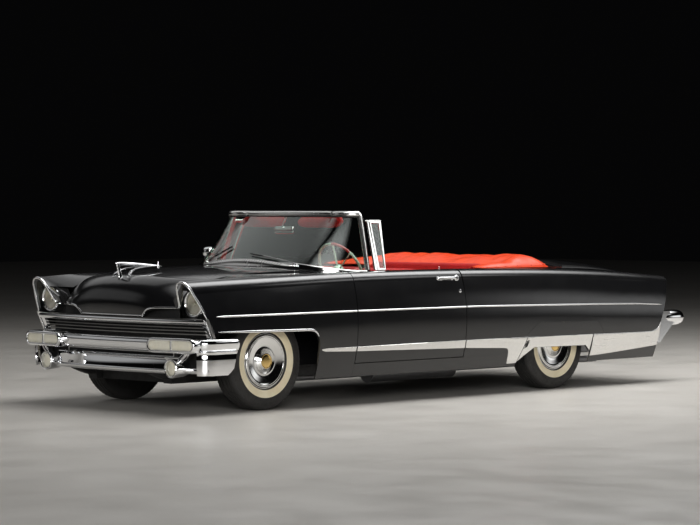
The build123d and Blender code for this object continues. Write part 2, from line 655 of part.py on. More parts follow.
def knuckle():
    """Kingpin, its block and the spindle that carries the front wheel."""
    x = FRONT_AXLE_X
    pin = rod((x, KINGPIN_Y, LOWER_ARM_Z[0]), (x, KINGPIN_Y, UPPER_ARM_Z[1]), KINGPIN_R)
    hub = block(x - 34, x + 34, KINGPIN_Y - 30, KINGPIN_Y + 34, TYRE_R - 50, TYRE_R + 50)
    spindle = rod((x, KINGPIN_Y, TYRE_R), (x, FRONT_TRACK / 2 + 20, TYRE_R), SPINDLE_R)
    return pin + hub + spindle


left_knuckle = knuckle()
add("knuckle_left", left_knuckle)
add("knuckle_right", other_side(left_knuckle))
DIFFERENTIAL_R = 135.0


def rear_axle():
    """Axle tube, differential, spindles, springs and their pads."""
    x, z = REAR_AXLE_X, TYRE_R
    tube, spindle = REAR_TRACK / 2 - 122, REAR_TRACK / 2 + 20
    axle = rod((x, -tube, z), (x, tube, z), 45) + Pos(x, 0, z) * Sphere(DIFFERENTIAL_R)
    axle += rod((x, -spindle, z), (x, spindle, z), SPINDLE_R)
    front_x, front_z = SPRING_FRONT
    rear_x, rear_z = SPRING_REAR
    seat_z = TYRE_R - 88
    line = ThreePointArc((rear_x, rear_z), (x, seat_z), (front_x, front_z + SPRING_LEAF))
    under = ThreePointArc((front_x, front_z), (x, seat_z - SPRING_LEAF), (rear_x, rear_z - SPRING_LEAF))
    ends = Line((front_x, front_z + SPRING_LEAF), (front_x, front_z))
    ends += Line((rear_x, rear_z - SPRING_LEAF), (rear_x, rear_z))
    spring = extrude(side_plane(SPRING_Y[1]) * make_face(line + under + ends), SPRING_Y[1] - SPRING_Y[0])
    return axle + both(spring + block(x - 60, x + 60, *SPRING_Y, seat_z - 7, z))


add("rear_axle", rear_axle())

ENGINE_REAR_X = FIREWALL_X + 20
ENGINE_FRONT_X = FRONT_AXLE_X + 330
engine = block(ENGINE_REAR_X, ENGINE_FRONT_X, -280, 280, 330, 800)
engine += block(ENGINE_REAR_X + 60, ENGINE_FRONT_X - 60, -150, 150, 800, 880)
engine += block(FRONT_AXLE_X - 90, FRONT_AXLE_X + 90, -160, 160, 295 + SEAT_GAP, 335)
GEARBOX_REAR_X = FIREWALL_X - 690
gearbox = block(GEARBOX_REAR_X, ENGINE_REAR_X - SEAT_GAP, -100, 100, GEARBOX_Z, 395)
shaft_front = (GEARBOX_REAR_X + 10, 0, 330)
shaft = rod(shaft_front, (REAR_AXLE_X + DIFFERENTIAL_R + 0.5, 0, TYRE_R - 15), 32)
add("engine_block", engine)
add("driveline", gearbox + shaft)

PIPE_R = 28.0
PIPE_Y = RAIL_Y - 180
PIPE_Z = RAIL_Z - SEAT_GAP - PIPE_R
exhaust = rod((FIREWALL_X - 30, PIPE_Y, PIPE_Z), (REAR_END + 410, PIPE_Y, PIPE_Z), PIPE_R)
exhaust += rod((REAR_AXLE_X + 650, PIPE_Y, PIPE_Z), (REAR_AXLE_X + 1610, PIPE_Y, PIPE_Z), 75)
add("exhaust", both(exhaust))
tank_half = RAIL_Y - RAIL_WIDTH - 20
tank = block(REAR_END + 540, REAR_AXLE_X - 600, -tank_half, tank_half, 236, BOOT_FLOOR_Z - SEAT_GAP)
add("fuel_tank", fillet(tank.edges().filter_by(Axis.X), 30))

print("wheels")


def revolve_wheel(points):
    """A closed outline of (radius, offset outwards) turned about the wheel's axle."""
    face = Plane.XY * make_face(Polyline(*points, close=True))
    return revolve(face, Axis.Y)


def tyre():
    """Flat walls, a bevelled shoulder and a flat tread."""
    outline = [(BEAD_R, TYRE_HALF), (SHOULDER_R, TYRE_HALF), (TYRE_R, TREAD_HALF)]
    return revolve_wheel(outline + [(r, -w) for r, w in reversed(outline)])


def wheel():
    """Rim, disc and hub under a polished cover with a stepped centre."""
    bore = SPINDLE_R + PIN_GAP
    rim = BEAD_R - 0.5
    lip, cone, disc = COVER_R, COVER_CONE_R, COVER_DISC_R
    outline = [(bore, -20), (HUB_R, -20), (HUB_R, 10), (rim - 15, 10), (rim - 15, -RIM_HALF),
               (rim, -RIM_HALF), (rim, 70), (lip, 82), (lip - 10, 90), (lip - 43, 82), (cone + 20, 72),
               (cone + 3, 74), (cone, 88), (disc, COVER_PROUD), (0, COVER_PROUD + 2),
               (0, 84), (disc - 4, 82), (cone - 12, 76), (cone - 6, 62), (cone + 20, 60), (lip - 43, 70),
               (lip - 15, 78), (lip - 10, 66), (lip - 10, 22), (bore, 22)]
    return revolve_wheel(outline)


TYRE = tyre()
WHEEL = wheel()
WHEELS = [("front_left", FRONT_AXLE_X, FRONT_TRACK / 2), ("front_right", FRONT_AXLE_X, -FRONT_TRACK / 2),
          ("rear_left", REAR_AXLE_X, REAR_TRACK / 2), ("rear_right", REAR_AXLE_X, -REAR_TRACK / 2)]
for name, x, y in WHEELS:
    for node, shape in (("tyre", TYRE), ("wheel", WHEEL)):
        turned = shape if y > 0 else other_side(shape)
        add(f"{node}_{name}", Pos(x, y, TYRE_R) * turned)

print("front end")


def headlight_bezel():
    """Chrome round the left headlight's opening: along the fender's edge, and down its inner leg."""
    (low_y, low_z), (top_y, top_z) = LAMP_LEG
    ahead = nose_slab(0.5, 14, low_z - 77, OUTSIDE)
    outboard = [(low_y - 11, low_z - 77), (low_y, low_z - 5), (top_y - 6, top_z - 3), (top_y - 6, OUTSIDE),
                (OUTSIDE, OUTSIDE), (OUTSIDE, low_z - 77)]
    rim = (OUTER - side_body(12, SEAM_Y - 60)) & ahead & prism_x(outboard, NOSE_BOTTOM[0], AHEAD)
    strip = [(low_y, low_z), (top_y, top_z), (top_y + 12, top_z - 8), (low_y + 12, low_z - 8)]
    return rim + (OUTER & ahead & prism_x(strip, NOSE_BOTTOM[0], AHEAD))


add("headlight_bezels", both(headlight_bezel()))
lamp_x = nose_x(LAMP_Z) - 92
bucket_space = side_body(SKIN + SEAT_GAP, SEAM_Y)


def lamp_bore(start, end, radius):
    """A round space about the headlight's axis, from start to end along it."""
    return rod((lamp_x + start, LAMP_Y, LAMP_Z), (lamp_x + end, LAMP_Y, LAMP_Z), radius)


def headlight_bucket():
    """The sheet that closes the left headlight's recess, with the lamp's round seat."""
    plate = nose_slab(-95, -85, 668, OUTSIDE) + lamp_bore(-60, 52, LAMP_R + 13)
    return (plate & bucket_space) - lamp_bore(22, 90, LAMP_R + SEAT_GAP)


add("headlight_buckets", both(headlight_bucket()))
lens = lamp_bore(22 + SEAT_GAP, 52 + SEAT_GAP, LAMP_R)
lens = fillet(lens.edges().sort_by(Axis.X)[-1], 16)


def bowed_bar(half, x_end, x_centre, depth, z0, z1):
    """A bar across the front or rear, bowed in plan."""
    back = -math.copysign(depth, x_centre)
    front = ThreePointArc((x_end, -half), (x_centre, 0), (x_end, half))
    rear = ThreePointArc((x_end + back, half), (x_centre + back, 0), (x_end + back, -half))
    ends = Line((x_end, half), (x_end + back, half)) + Line((x_end + back, -half), (x_end, -half))
    return extrude(Pos(0, 0, z0) * make_face(front + ends + rear), z1 - z0)


GRILLE_BARS = (645, 622, 599, 574)
LOWER_BARS = (440, 410, 380)
LOWER_HALF = 600.0


def grille():
    """Chrome surround and the thin bars of the upper grille, on the raked nose plane."""
    high, low = nose_x(690), nose_x(552)
    piece = bowed_bar(GRILLE_HALF + 15, high + 22, high + 22 + GRILLE_BOW, 30, 666, 688)
    post_line = [(high + SEAT_GAP, 690), (high + 26, 690), (low + 26, 552), (low + SEAT_GAP, 552)]
    piece += both(prism_y(post_line, GRILLE_HALF - 10, GRILLE_HALF + 55))
    for z in GRILLE_BARS:
        piece += bowed_bar(GRILLE_HALF, nose_x(z) + 12, nose_x(z) + 12 + GRILLE_BOW, 14, z - 4, z + 4)
    return piece


PANEL_X = FRONT_END - 278


def lower_grille():
    """The thin bars behind the bumper, between two stays on the front panel."""
    piece = both(block(PANEL_X, PANEL_X + 98, LOWER_HALF - 10, LOWER_HALF, 370, 450))
    for z in LOWER_BARS:
        piece += bowed_bar(LOWER_HALF, PANEL_X + 98, PANEL_X + 138, 12, z - 4, z + 4)
    return piece


add("grilles", grille() + lower_grille())

RECESS_HALF = 640.0
front_panel = block(PANEL_X - 16, PANEL_X, 25 - GRILLE_HALF, GRILLE_HALF - 25, FLOOR_Z, 664)
front_panel += block(PANEL_X - 1, PANEL_X + 88, -RECESS_HALF, RECESS_HALF, 652, 664)
front_panel += block(PANEL_X + 76, PANEL_X + 88, -RECESS_HALF, RECESS_HALF, 652, 746)
add("front_panel", front_panel)

# The bumper's roll in cross-section: outwards from its outer line, and height
BUMPER_ROLL = [(-46, BUMPER_Z[0]), (-46, BUMPER_Z[1]), (-18, BUMPER_Z[1]), (0, 512), (-6, 478),
               (-24, BUMPER_Z[0])]
LOWER_ROLL = [(-50, 292), (-50, 346), (-30, 346), (0, 322), (-4, 306), (-14, 292)]


def wrap_points():
    """Where the bumper's corner starts, its middle, and where it runs into the front bow."""
    x, y, r = BUMPER_CORNER_X, BUMPER_HALF - BUMPER_CORNER_R, BUMPER_CORNER_R
    depth = BUMPER_FACE_X - x
    bow_r = (depth ** 2 + y ** 2 - r ** 2) / (2 * (depth - r))
    turn = math.atan2(y, x - BUMPER_FACE_X + bow_r)
    middle = (turn + math.pi / 2) / 2
    on_corner = [(x + r * math.cos(a), y + r * math.sin(a)) for a in (math.pi / 2, middle, turn)]
    return on_corner


def swept(outline, start, path):
    """A roll swept along a line in plan that starts straight forward from start."""
    plane = Plane(origin=(*start, 0), x_dir=(0, 1, 0), z_dir=(1, 0, 0))
    return sweep(plane * make_face(Polyline(*outline, close=True)), path)


def bumper_roll():
    """The main bar: back along the fender, round the corner and across the front."""
    corner, middle, meet = wrap_points()
    start = (FRONT_END - BUMPER_WRAP, BUMPER_HALF)
    left = [start, corner, middle, meet]
    right = [(x, -y) for x, y in left]
    path = Line(left[0], left[1]) + ThreePointArc(*left[1:])
    path += ThreePointArc(meet, (BUMPER_FACE_X, 0), right[3])
    path += ThreePointArc(right[3], right[2], right[1]) + Line(right[1], right[0])
    return swept(BUMPER_ROLL, start, path)


def bumper_end():
    """The plate below the roll's left end, with its slanting rear edge."""
    corner, middle, meet = wrap_points()
    start = (FRONT_END - BUMPER_WRAP, BUMPER_HALF)
    path = Line(start, corner) + ThreePointArc(corner, middle, meet)
    plate = swept([(-34, 288), (-34, BUMPER_Z[0] + 4), (-8, BUMPER_Z[0] + 4), (-8, 288)], start, path)
    x = start[0]
    slant = [(x - 28, BUMPER_Z[0]), (x + 27, BUMPER_Z[0]), (x + 62, 330), (x + 112, 288), (x + 112, 200),
             (x - 28, 200)]
    front = block(BUMPER_CORNER_X + 62, AHEAD, 0, OUTSIDE, 200, BUMPER_Z[0])
    return plate - prism_y(slant, 0, OUTSIDE) - front


LOZENGE = Plane(origin=LOZENGE_CENTRE, x_dir=(-math.sin(LOZENGE_TURN), math.cos(LOZENGE_TURN), 0),
                z_dir=(math.cos(LOZENGE_TURN), math.sin(LOZENGE_TURN), 0))


def lozenge(size, depth0, depth1):
    """A round-ended bar along the left lamp housing's axis, between two depths."""
    return extrude(LOZENGE.offset(depth0) * SlotOverall(*size), depth1 - depth0)


def pod(x0, x1, radius):
    """A round bar along the left pod's axis."""
    return rod((x0, *POD_CENTRE), (x1, *POD_CENTRE), radius)


LOWER_FACE_X = FRONT_END - 40
POD_FRONT_X = FRONT_END - 46


def front_bumper():
    """Main bar, end plates, lamp housings, lower bar and the round pods."""
    y, z = POD_CENTRE
    start = (FRONT_END - 100, 690)
    lower_path = ThreePointArc(start, (LOWER_FACE_X, 0), (start[0], -start[1]))
    aim = (lower_path @ 0, lower_path % 0)
    plane = Plane(origin=aim[0], x_dir=(aim[1].Y * -1, aim[1].X, 0), z_dir=aim[1])
    lower = sweep(plane * make_face(Polyline(*LOWER_ROLL, close=True)), lower_path)
    half = bumper_end() + lozenge(LOZENGE_SIZE, 0, 118) + pod(FRONT_END - 190, POD_FRONT_X, POD_R)
    strut = [(y + 52, 455), (y + 132, 455), (y + 37, 370), (y - 18, 370)]
    half += prism_x(strut, FRONT_END - 140, FRONT_END - 100)
    half += block(FRONT_END - 190, FRONT_END - 140, y - 8, BUMPER_HALF - 30, z - 38, z + 6)
    half += block(FRONT_END - 270 + SEAT_GAP, FRONT_END - 95, RAIL_Y - 80, RAIL_Y - 10, 230, 330)
    cut = lozenge(LOZENGE_LENS, 100, 140) + pod(POD_FRONT_X - 20, AHEAD, POD_LENS_R)
    return bumper_roll() + lower + both(half) - both(cut)


add("front_bumper", front_bumper())
lens_size = (LOZENGE_LENS[0] - 1, LOZENGE_LENS[1] - 1)
park_lens = lozenge(lens_size, 100 + SEAT_GAP, 112)
pod_lens = pod(POD_FRONT_X - 20 + SEAT_GAP, POD_FRONT_X - 8, POD_LENS_R - 0.5)
add("front_lamps", both(lens + park_lens + pod_lens))

print("tail")
plug = side_body(SKIN + SEAT_GAP, SEAM_Y)


def tail_panel():
    """The sheet between the fins and below the boot lid, with slots for the bumper irons."""
    shelf_z = LID_BOTTOM_Z - 6
    shelf_x = REAR_END + 300
    levels = (shelf_z, TAIL_KNEE[1], TAIL_FOOT[1])
    panel_line = [(shelf_x, shelf_z), (shelf_x, shelf_z - 12), (tail_x(shelf_z - 12) + 40, shelf_z - 12)]
    panel_line += [(tail_x(z) + 40, z) for z in levels[1:]]
    panel_line += [(tail_x(z) + 52, z) for z in reversed(levels)]
    panel = both(plug & tail_slab(40, 52, TAIL_FOOT[1], OUTSIDE))
    panel += prism_y(panel_line, -SEAM_Y - 2, SEAM_Y + 2)
    slot = block(REAR_END + 370, REAR_END + 490, RAIL_Y - 95, RAIL_Y + 5, 290, 400)
    return panel - both(slot)


add("tail_panel", tail_panel())
lamp_space = side_body(SKIN + 6, 760) & tail_slab(-8, 40 - SEAT_GAP, 668, OUTSIDE)
add("tail_lamps", both(lamp_space))
REAR_POD = (868.0, 540.0)
REAR_POD_R = 60.0


def rear_bumper():
    """Main bar, the bullet pods at its ends and the wedges that close the corners below them."""
    bar = bowed_bar(850, REAR_END + 190, REAR_END + 100, 60, 452, 556)
    bar = fillet(bar.edges().filter_by(GeomType.CIRCLE), 20)
    bullet = rod((REAR_END + 285, *REAR_POD), (REAR_END, *REAR_POD), REAR_POD_R)
    bullet = fillet(bullet.edges().sort_by(Axis.X)[0], REAR_POD_R - 6)
    edge = [(tail_x(z) - 14, z) for z in (334, TAIL_KNEE[1], 598)]
    wedge = edge + [(REAR_END + 230, 598), (REAR_END + 170, 500), (REAR_END + 360, 334)]
    half = bullet + prism_y(wedge, 850, 958)
    half += block(REAR_END + 265, REAR_END + 470 - SEAT_GAP, RAIL_Y - 85, RAIL_Y - 5, 310, 390)
    lower = bowed_bar(860, REAR_END + 300, REAR_END + 230, 40, 336, 400)
    return bar + both(half) + lower


add("rear_bumper", rear_bumper())

print("cabin")
rake = math.radians(STEER_RAKE)
STEER_AXIS = (math.cos(rake), 0, -math.sin(rake))


def along_column(distance):
    """A point on the steering axis, distance forward of the wheel's centre."""
    return tuple(c + a * distance for c, a in zip(STEER_CENTRE, STEER_AXIS))


DASH_LINE = [(14, 985), (190, 985), (216, 940), (200, 800), (140, 740), (14, 760)]
dash_half = POST_Y - 18 - SEAT_GAP
dashboard = prism_y([(FENDER_REAR_X - back, z) for back, z in DASH_LINE], -dash_half, dash_half)
column_reach = (FIREWALL_X - 12.3 - STEER_CENTRE[0]) / STEER_AXIS[0] - 14.5
add("dashboard", dashboard - rod(along_column(62), along_column(column_reach), 27))
add("steering_column", rod(along_column(61.3), along_column(column_reach), 26))


def steering_wheel():
    """Ring, two spokes and a hub with its short shaft."""
    plane = Plane(origin=STEER_CENTRE, x_dir=(0, 1, 0), z_dir=STEER_AXIS)
    ring = Torus(STEER_RING_R, 12)
    hub = Pos(0, 0, 30) * Cylinder(44, 62)
    spokes = Pos(0, 0, 6) * Box(2 * STEER_RING_R, 34, 12) - Pos(0, 0, 6) * Box(60, 60, 60)
    return plane * (ring + hub + spokes)


add("steering_wheel", steering_wheel())

# Seat outlines: distance behind the fender's rear edge, or ahead of the cabin's rear wall, and height
SEAT_TOP_Z = 1022.0
FRONT_SEAT_LINE = [(385, FLOOR_TOP_Z), (370, 545), (860, 520), (1010, SEAT_TOP_Z), (1118, SEAT_TOP_Z),
                   (1010, FLOOR_TOP_Z)]
REAR_SEAT_LINE = [(600, FLOOR_TOP_Z), (615, 545), (255, 520), (195, SEAT_TOP_Z), (145, SEAT_TOP_Z),
                  (132, BULKHEAD_Z - 14), (20, BULKHEAD_Z - 14), (20, FLOOR_TOP_Z)]
tunnel_space = block(CABIN_REAR_X - 110, FENDER_REAR_X - 200, -125, 125, 300, 425)
front_seat = prism_y([(FENDER_REAR_X - back, z) for back, z in FRONT_SEAT_LINE], -SEAT_HALF, SEAT_HALF)
rear_seat = prism_y([(CABIN_REAR_X + ahead, z) for ahead, z in REAR_SEAT_LINE], -SEAT_HALF, SEAT_HALF)
add("front_seat", fillet(front_seat.edges().filter_by(Axis.Y), 30) - tunnel_space)
add("rear_seat", fillet(rear_seat.edges().filter_by(Axis.Y), 18) - tunnel_space - RAIL_SPACE)

# The folded top's cover: its ridge across the car, and the arm along each side of the rear seat
BOOT_LINE = [(-130, 0), (-90, 96), (110, 166), (220, 181), (390, 156), (478, 96), (478, 0)]
BOOT_ARM = [(-520, 1003), (-490, 1014), (-130, 1046), (-60, 1046), (-60, 1003)]
boot_z = BULKHEAD_Z + SEAT_GAP
boot_half = CABIN_WALL_Y - 4
boot_cover = prism_y([(CABIN_REAR_X - back, boot_z + up) for back, up in BOOT_LINE], -boot_half, boot_half)
arm_line = [(CABIN_REAR_X - back, z) for back, z in BOOT_ARM]
boot_cover += both(prism_y(arm_line, boot_half - 60, boot_half + 70))
add("boot_cover", boot_cover)

os.makedirs("parts", exist_ok=True)
for name, shape in parts.items():
    export_step(shape, os.path.join("parts", f"{name}.step"))
print(len(parts), "nodes")
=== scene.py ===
# %% [markdown]
# # A 1950s convertible, dressed
# The solids of the car come in as a fixed frame, already in metres: +X forward, +Y to the car's left, +Z
# up. This lesson keeps the solids whose shape is right, gives every surface a finish, and adds the trim,
# tyres, upholstery and small fittings that make the car look like the real one.

# %% Load the car's solids
import math

import bmesh
import bpy
import numpy as np
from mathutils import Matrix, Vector, noise as ripple
from mathutils.bvhtree import BVHTree


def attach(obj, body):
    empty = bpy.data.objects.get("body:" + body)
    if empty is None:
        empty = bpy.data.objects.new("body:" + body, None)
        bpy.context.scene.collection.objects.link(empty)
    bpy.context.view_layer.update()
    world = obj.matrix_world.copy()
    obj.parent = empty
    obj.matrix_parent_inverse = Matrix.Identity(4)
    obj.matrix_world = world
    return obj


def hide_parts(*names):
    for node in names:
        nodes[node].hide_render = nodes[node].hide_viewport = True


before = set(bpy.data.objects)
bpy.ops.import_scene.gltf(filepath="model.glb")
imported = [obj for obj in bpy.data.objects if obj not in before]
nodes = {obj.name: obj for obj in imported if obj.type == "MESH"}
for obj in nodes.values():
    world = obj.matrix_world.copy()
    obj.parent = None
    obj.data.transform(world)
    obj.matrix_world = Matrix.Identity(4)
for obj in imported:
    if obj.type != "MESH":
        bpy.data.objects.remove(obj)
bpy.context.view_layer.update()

# %% [markdown]
# ## Camera
# The car was photographed from its front left with a long lens, a little above the height of the doors.
# It could be placed by eye, but the place and the lens are worked out from points whose real positions
# are known, so that the car's proportions can be trusted.

# %% Camera
camera = bpy.data.objects.new("camera", bpy.data.cameras.new("camera"))
bpy.context.scene.collection.objects.link(camera)
camera.location = (14.8774, 14.6385, 1.4981)
yaw = math.radians(-134.931)
pitch = math.radians(-1.2735)
ahead = Vector((math.cos(pitch) * math.cos(yaw), math.cos(pitch) * math.sin(yaw), math.sin(pitch)))
camera.rotation_euler = ahead.to_track_quat("-Z", "Y").to_euler()
camera.data.sensor_width = 36.0
camera.data.lens = 133.62
camera.data.clip_end = 200.0
bpy.context.scene.camera = camera
print("camera at", tuple(round(c, 3) for c in camera.location), "lens", camera.data.lens)

# %% [markdown]
# ## Finishes
# A finish is a node tree. Each one starts from the Principled shader, and a noise texture in the object's
# own space changes its roughness or colour a little, because no real surface is even.

# %% Helpers for finishes
def new_finish(name, color, roughness, metallic=0.0):
    """A material with a Principled shader; returns the material, its node tree and the shader."""
    finish = bpy.data.materials.new(name)
    finish.use_nodes = True
    tree = finish.node_tree
    shader = tree.nodes["Principled BSDF"]
    shader.inputs["Base Color"].default_value = (*color, 1.0)
    shader.inputs["Roughness"].default_value = roughness
    shader.inputs["Metallic"].default_value = metallic
    return finish, tree, shader


def noise(tree, scale, detail=4.0, stretch=(1, 1, 1)):
    """A noise texture in object space, stretched along the axes."""
    place = tree.nodes.new("ShaderNodeTexCoord")
    mapping = tree.nodes.new("ShaderNodeMapping")
    mapping.inputs["Scale"].default_value = stretch
    texture = tree.nodes.new("ShaderNodeTexNoise")
    texture.inputs["Scale"].default_value = scale
    texture.inputs["Detail"].default_value = detail
    tree.links.new(place.outputs["Object"], mapping.inputs["Vector"])
    tree.links.new(mapping.outputs["Vector"], texture.inputs["Vector"])
    return texture.outputs["Fac"]


def spread(tree, value, low, high):
    """Maps the middle of a noise onto a range."""
    node = tree.nodes.new("ShaderNodeMapRange")
    node.inputs["From Min"].default_value = 0.3
    node.inputs["From Max"].default_value = 0.7
    node.inputs["To Min"].default_value = low
    node.inputs["To Max"].default_value = high
    tree.links.new(value, node.inputs["Value"])
    return node.outputs["Result"]


def two_tone(tree, shader, value, dark, light):
    """Colours the shader from dark to light along a value."""
    ramp = tree.nodes.new("ShaderNodeValToRGB")
    ramp.color_ramp.elements[0].position = 0.3
    ramp.color_ramp.elements[0].color = (*dark, 1.0)
    ramp.color_ramp.elements[1].position = 0.7
    ramp.color_ramp.elements[1].color = (*light, 1.0)
    tree.links.new(value, ramp.inputs["Fac"])
    tree.links.new(ramp.outputs["Color"], shader.inputs["Base Color"])


def uneven(tree, shader, scale, low, high, stretch=(1, 1, 1)):
    """Varies the shader's roughness with a noise."""
    value = spread(tree, noise(tree, scale, 3.0, stretch), low, high)
    tree.links.new(value, shader.inputs["Roughness"])


def bump(tree, shader, value, strength, distance):
    """Feeds a height value to the shader's normal."""
    node = tree.nodes.new("ShaderNodeBump")
    node.inputs["Strength"].default_value = strength
    node.inputs["Distance"].default_value = distance
    tree.links.new(value, node.inputs["Height"])
    tree.links.new(node.outputs["Normal"], shader.inputs["Normal"])


# %% [markdown]
# Gloss black lacquer is a dark base under a clear coat. The coat gives the sharp reflection.

# %% Lacquer and chassis paint
def lacquer(name, dark, light):
    finish, tree, shader = new_finish(name, dark, 0.35)
    two_tone(tree, shader, noise(tree, 3.0), dark, light)
    uneven(tree, shader, 9.0, 0.28, 0.4)
    shader.inputs["Specular IOR Level"].default_value = 0.15
    shader.inputs["Coat Weight"].default_value = 1.0
    shader.inputs["Coat Roughness"].default_value = 0.02
    return finish


black_lacquer = lacquer("black_lacquer", (0.0035, 0.0035, 0.004), (0.005, 0.005, 0.0055))
red_lacquer = lacquer("red_lacquer", (0.40, 0.012, 0.012), (0.46, 0.016, 0.014))

chassis_paint, tree, shader = new_finish("chassis_paint", (0.02, 0.02, 0.021), 0.6)
uneven(tree, shader, 25.0, 0.45, 0.75)
two_tone(tree, shader, noise(tree, 6.0), (0.012, 0.012, 0.013), (0.026, 0.025, 0.024))
bump(tree, shader, noise(tree, 180.0), 0.15, 0.0006)
print("finishes so far:", len(bpy.data.materials))

# %% [markdown]
# Chrome is a mirror with a slightly blue-grey tint. Its roughness varies a little, as wiped metal does.
# The wide side moulding is brushed: its noise is stretched along the car.

# %% Bright metals
def bright_metal(name, color, low, high, scale, stretch=(1, 1, 1)):
    finish, tree, shader = new_finish(name, color, low, 1.0)
    uneven(tree, shader, scale, low, high, stretch)
    worn = [c * 0.94 for c in color]
    two_tone(tree, shader, noise(tree, scale * 0.6), worn, color)
    return finish


chrome = bright_metal("chrome", (0.88, 0.885, 0.895), 0.03, 0.08, 6.0)
polished_steel = bright_metal("polished_steel", (0.82, 0.82, 0.81), 0.07, 0.14, 14.0)
brushed_trim = bright_metal("brushed_trim", (0.84, 0.835, 0.82), 0.17, 0.28, 60.0, (0.05, 1, 1))
bare_steel = bright_metal("bare_steel", (0.32, 0.32, 0.33), 0.35, 0.55, 30.0)
gold = bright_metal("gold", (0.83, 0.58, 0.22), 0.14, 0.24, 30.0)
lamp_silver = bright_metal("lamp_silver", (0.95, 0.91, 0.80), 0.32, 0.45, 40.0)
cast_iron = bright_metal("cast_iron", (0.10, 0.10, 0.105), 0.5, 0.7, 60.0)
mirror_glass = bright_metal("mirror_glass", (0.80, 0.83, 0.84), 0.01, 0.02, 4.0)
print("finishes so far:", len(bpy.data.materials))

# %% [markdown]
# Rubber is never quite black. The cream band on the tyre's side is a second rubber of its own colour.

# %% Rubber
tyre_rubber, tree, shader = new_finish("tyre_rubber", (0.02, 0.02, 0.02), 0.7)
two_tone(tree, shader, noise(tree, 14.0), (0.014, 0.0135, 0.013), (0.028, 0.026, 0.024))
uneven(tree, shader, 40.0, 0.5, 0.75)
bump(tree, shader, noise(tree, 300.0), 0.2, 0.0005)
cream_rubber, tree, shader = new_finish("cream_rubber", (0.80, 0.72, 0.52), 0.5)
two_tone(tree, shader, noise(tree, 9.0), (0.72, 0.62, 0.41), (0.84, 0.76, 0.56))
uneven(tree, shader, 30.0, 0.4, 0.58)
print("finishes so far:", len(bpy.data.materials))

# %% [markdown]
# The seats are red leather with a fine pebble grain, made from a noise of small cells. The boot cover is
# a smoother, brighter vinyl, and the carpet is a dark red pile.

# %% Red leather, vinyl and carpet
def hide(name, dark, light, roughness, grain, depth):
    finish, tree, shader = new_finish(name, light, roughness)
    two_tone(tree, shader, noise(tree, 8.0), dark, light)
    uneven(tree, shader, 30.0, roughness - 0.06, roughness + 0.08)
    place = tree.nodes.new("ShaderNodeTexCoord")
    cells = tree.nodes.new("ShaderNodeTexVoronoi")
    cells.inputs["Scale"].default_value = grain
    tree.links.new(place.outputs["Object"], cells.inputs["Vector"])
    bump(tree, shader, cells.outputs["Distance"], 0.35, depth)
    return finish


red_leather = hide("red_leather", (0.38, 0.007, 0.007), (0.50, 0.012, 0.010), 0.42, 420.0, 0.0012)
boot_vinyl = hide("boot_vinyl", (0.62, 0.045, 0.010), (0.72, 0.065, 0.015), 0.34, 520.0, 0.00006)
boot_vinyl.node_tree.nodes["Principled BSDF"].inputs["Specular IOR Level"].default_value = 0.32
red_piping = hide("red_piping", (0.34, 0.008, 0.008), (0.42, 0.012, 0.011), 0.38, 600.0, 0.0004)
carpet_pile = hide("carpet_pile", (0.16, 0.008, 0.009), (0.26, 0.014, 0.014), 0.88, 700.0, 0.004)
print("finishes so far:", len(bpy.data.materials))

# %% [markdown]
# Glass lets light through and bends it. The car's glass is tinted green. The lamp lenses are pressed
# glass of a warm white, and the lamps in the tail are red.

# %% Glass and lenses
def clear_finish(name, dark, light, roughness, transmission):
    finish, tree, shader = new_finish(name, light, roughness)
    two_tone(tree, shader, noise(tree, 4.0), dark, light)
    shader.inputs["Transmission Weight"].default_value = transmission
    shader.inputs["IOR"].default_value = 1.48
    return finish


tinted_glass = clear_finish("tinted_glass", (0.76, 0.90, 0.83), (0.80, 0.92, 0.86), 0.0, 1.0)
headlight_glass = clear_finish("headlight_glass", (0.95, 0.95, 0.92), (0.98, 0.98, 0.95), 0.02, 1.0)
cream_lens = clear_finish("cream_lens", (0.90, 0.85, 0.68), (0.95, 0.92, 0.80), 0.12, 0.2)
red_lens = clear_finish("red_lens", (0.45, 0.005, 0.008), (0.62, 0.012, 0.012), 0.1, 0.35)
print("finishes so far:", len(bpy.data.materials))

# %% [markdown]
# Moulded plastic of the 1950s is glossy and slightly mottled.

# %% Moulded plastic
def moulded(name, dark, light):
    finish, tree, shader = new_finish(name, light, 0.28)
    two_tone(tree, shader, noise(tree, 20.0), dark, light)
    uneven(tree, shader, 24.0, 0.22, 0.34)
    shader.inputs["Coat Weight"].default_value = 0.5
    return finish


green_plastic = moulded("green_plastic", (0.56, 0.70, 0.56), (0.64, 0.78, 0.64))
red_plastic = moulded("red_plastic", (0.40, 0.014, 0.012), (0.48, 0.020, 0.016))
black_plastic = moulded("black_plastic", (0.010, 0.010, 0.010), (0.018, 0.018, 0.018))
ivory_face = moulded("ivory_face", (0.70, 0.68, 0.60), (0.78, 0.76, 0.68))
print("finishes:", len(bpy.data.materials))

# %% [markdown]
# ## Solids that keep their shape
# Where the solid already has the real piece's shape, it only needs its finish.

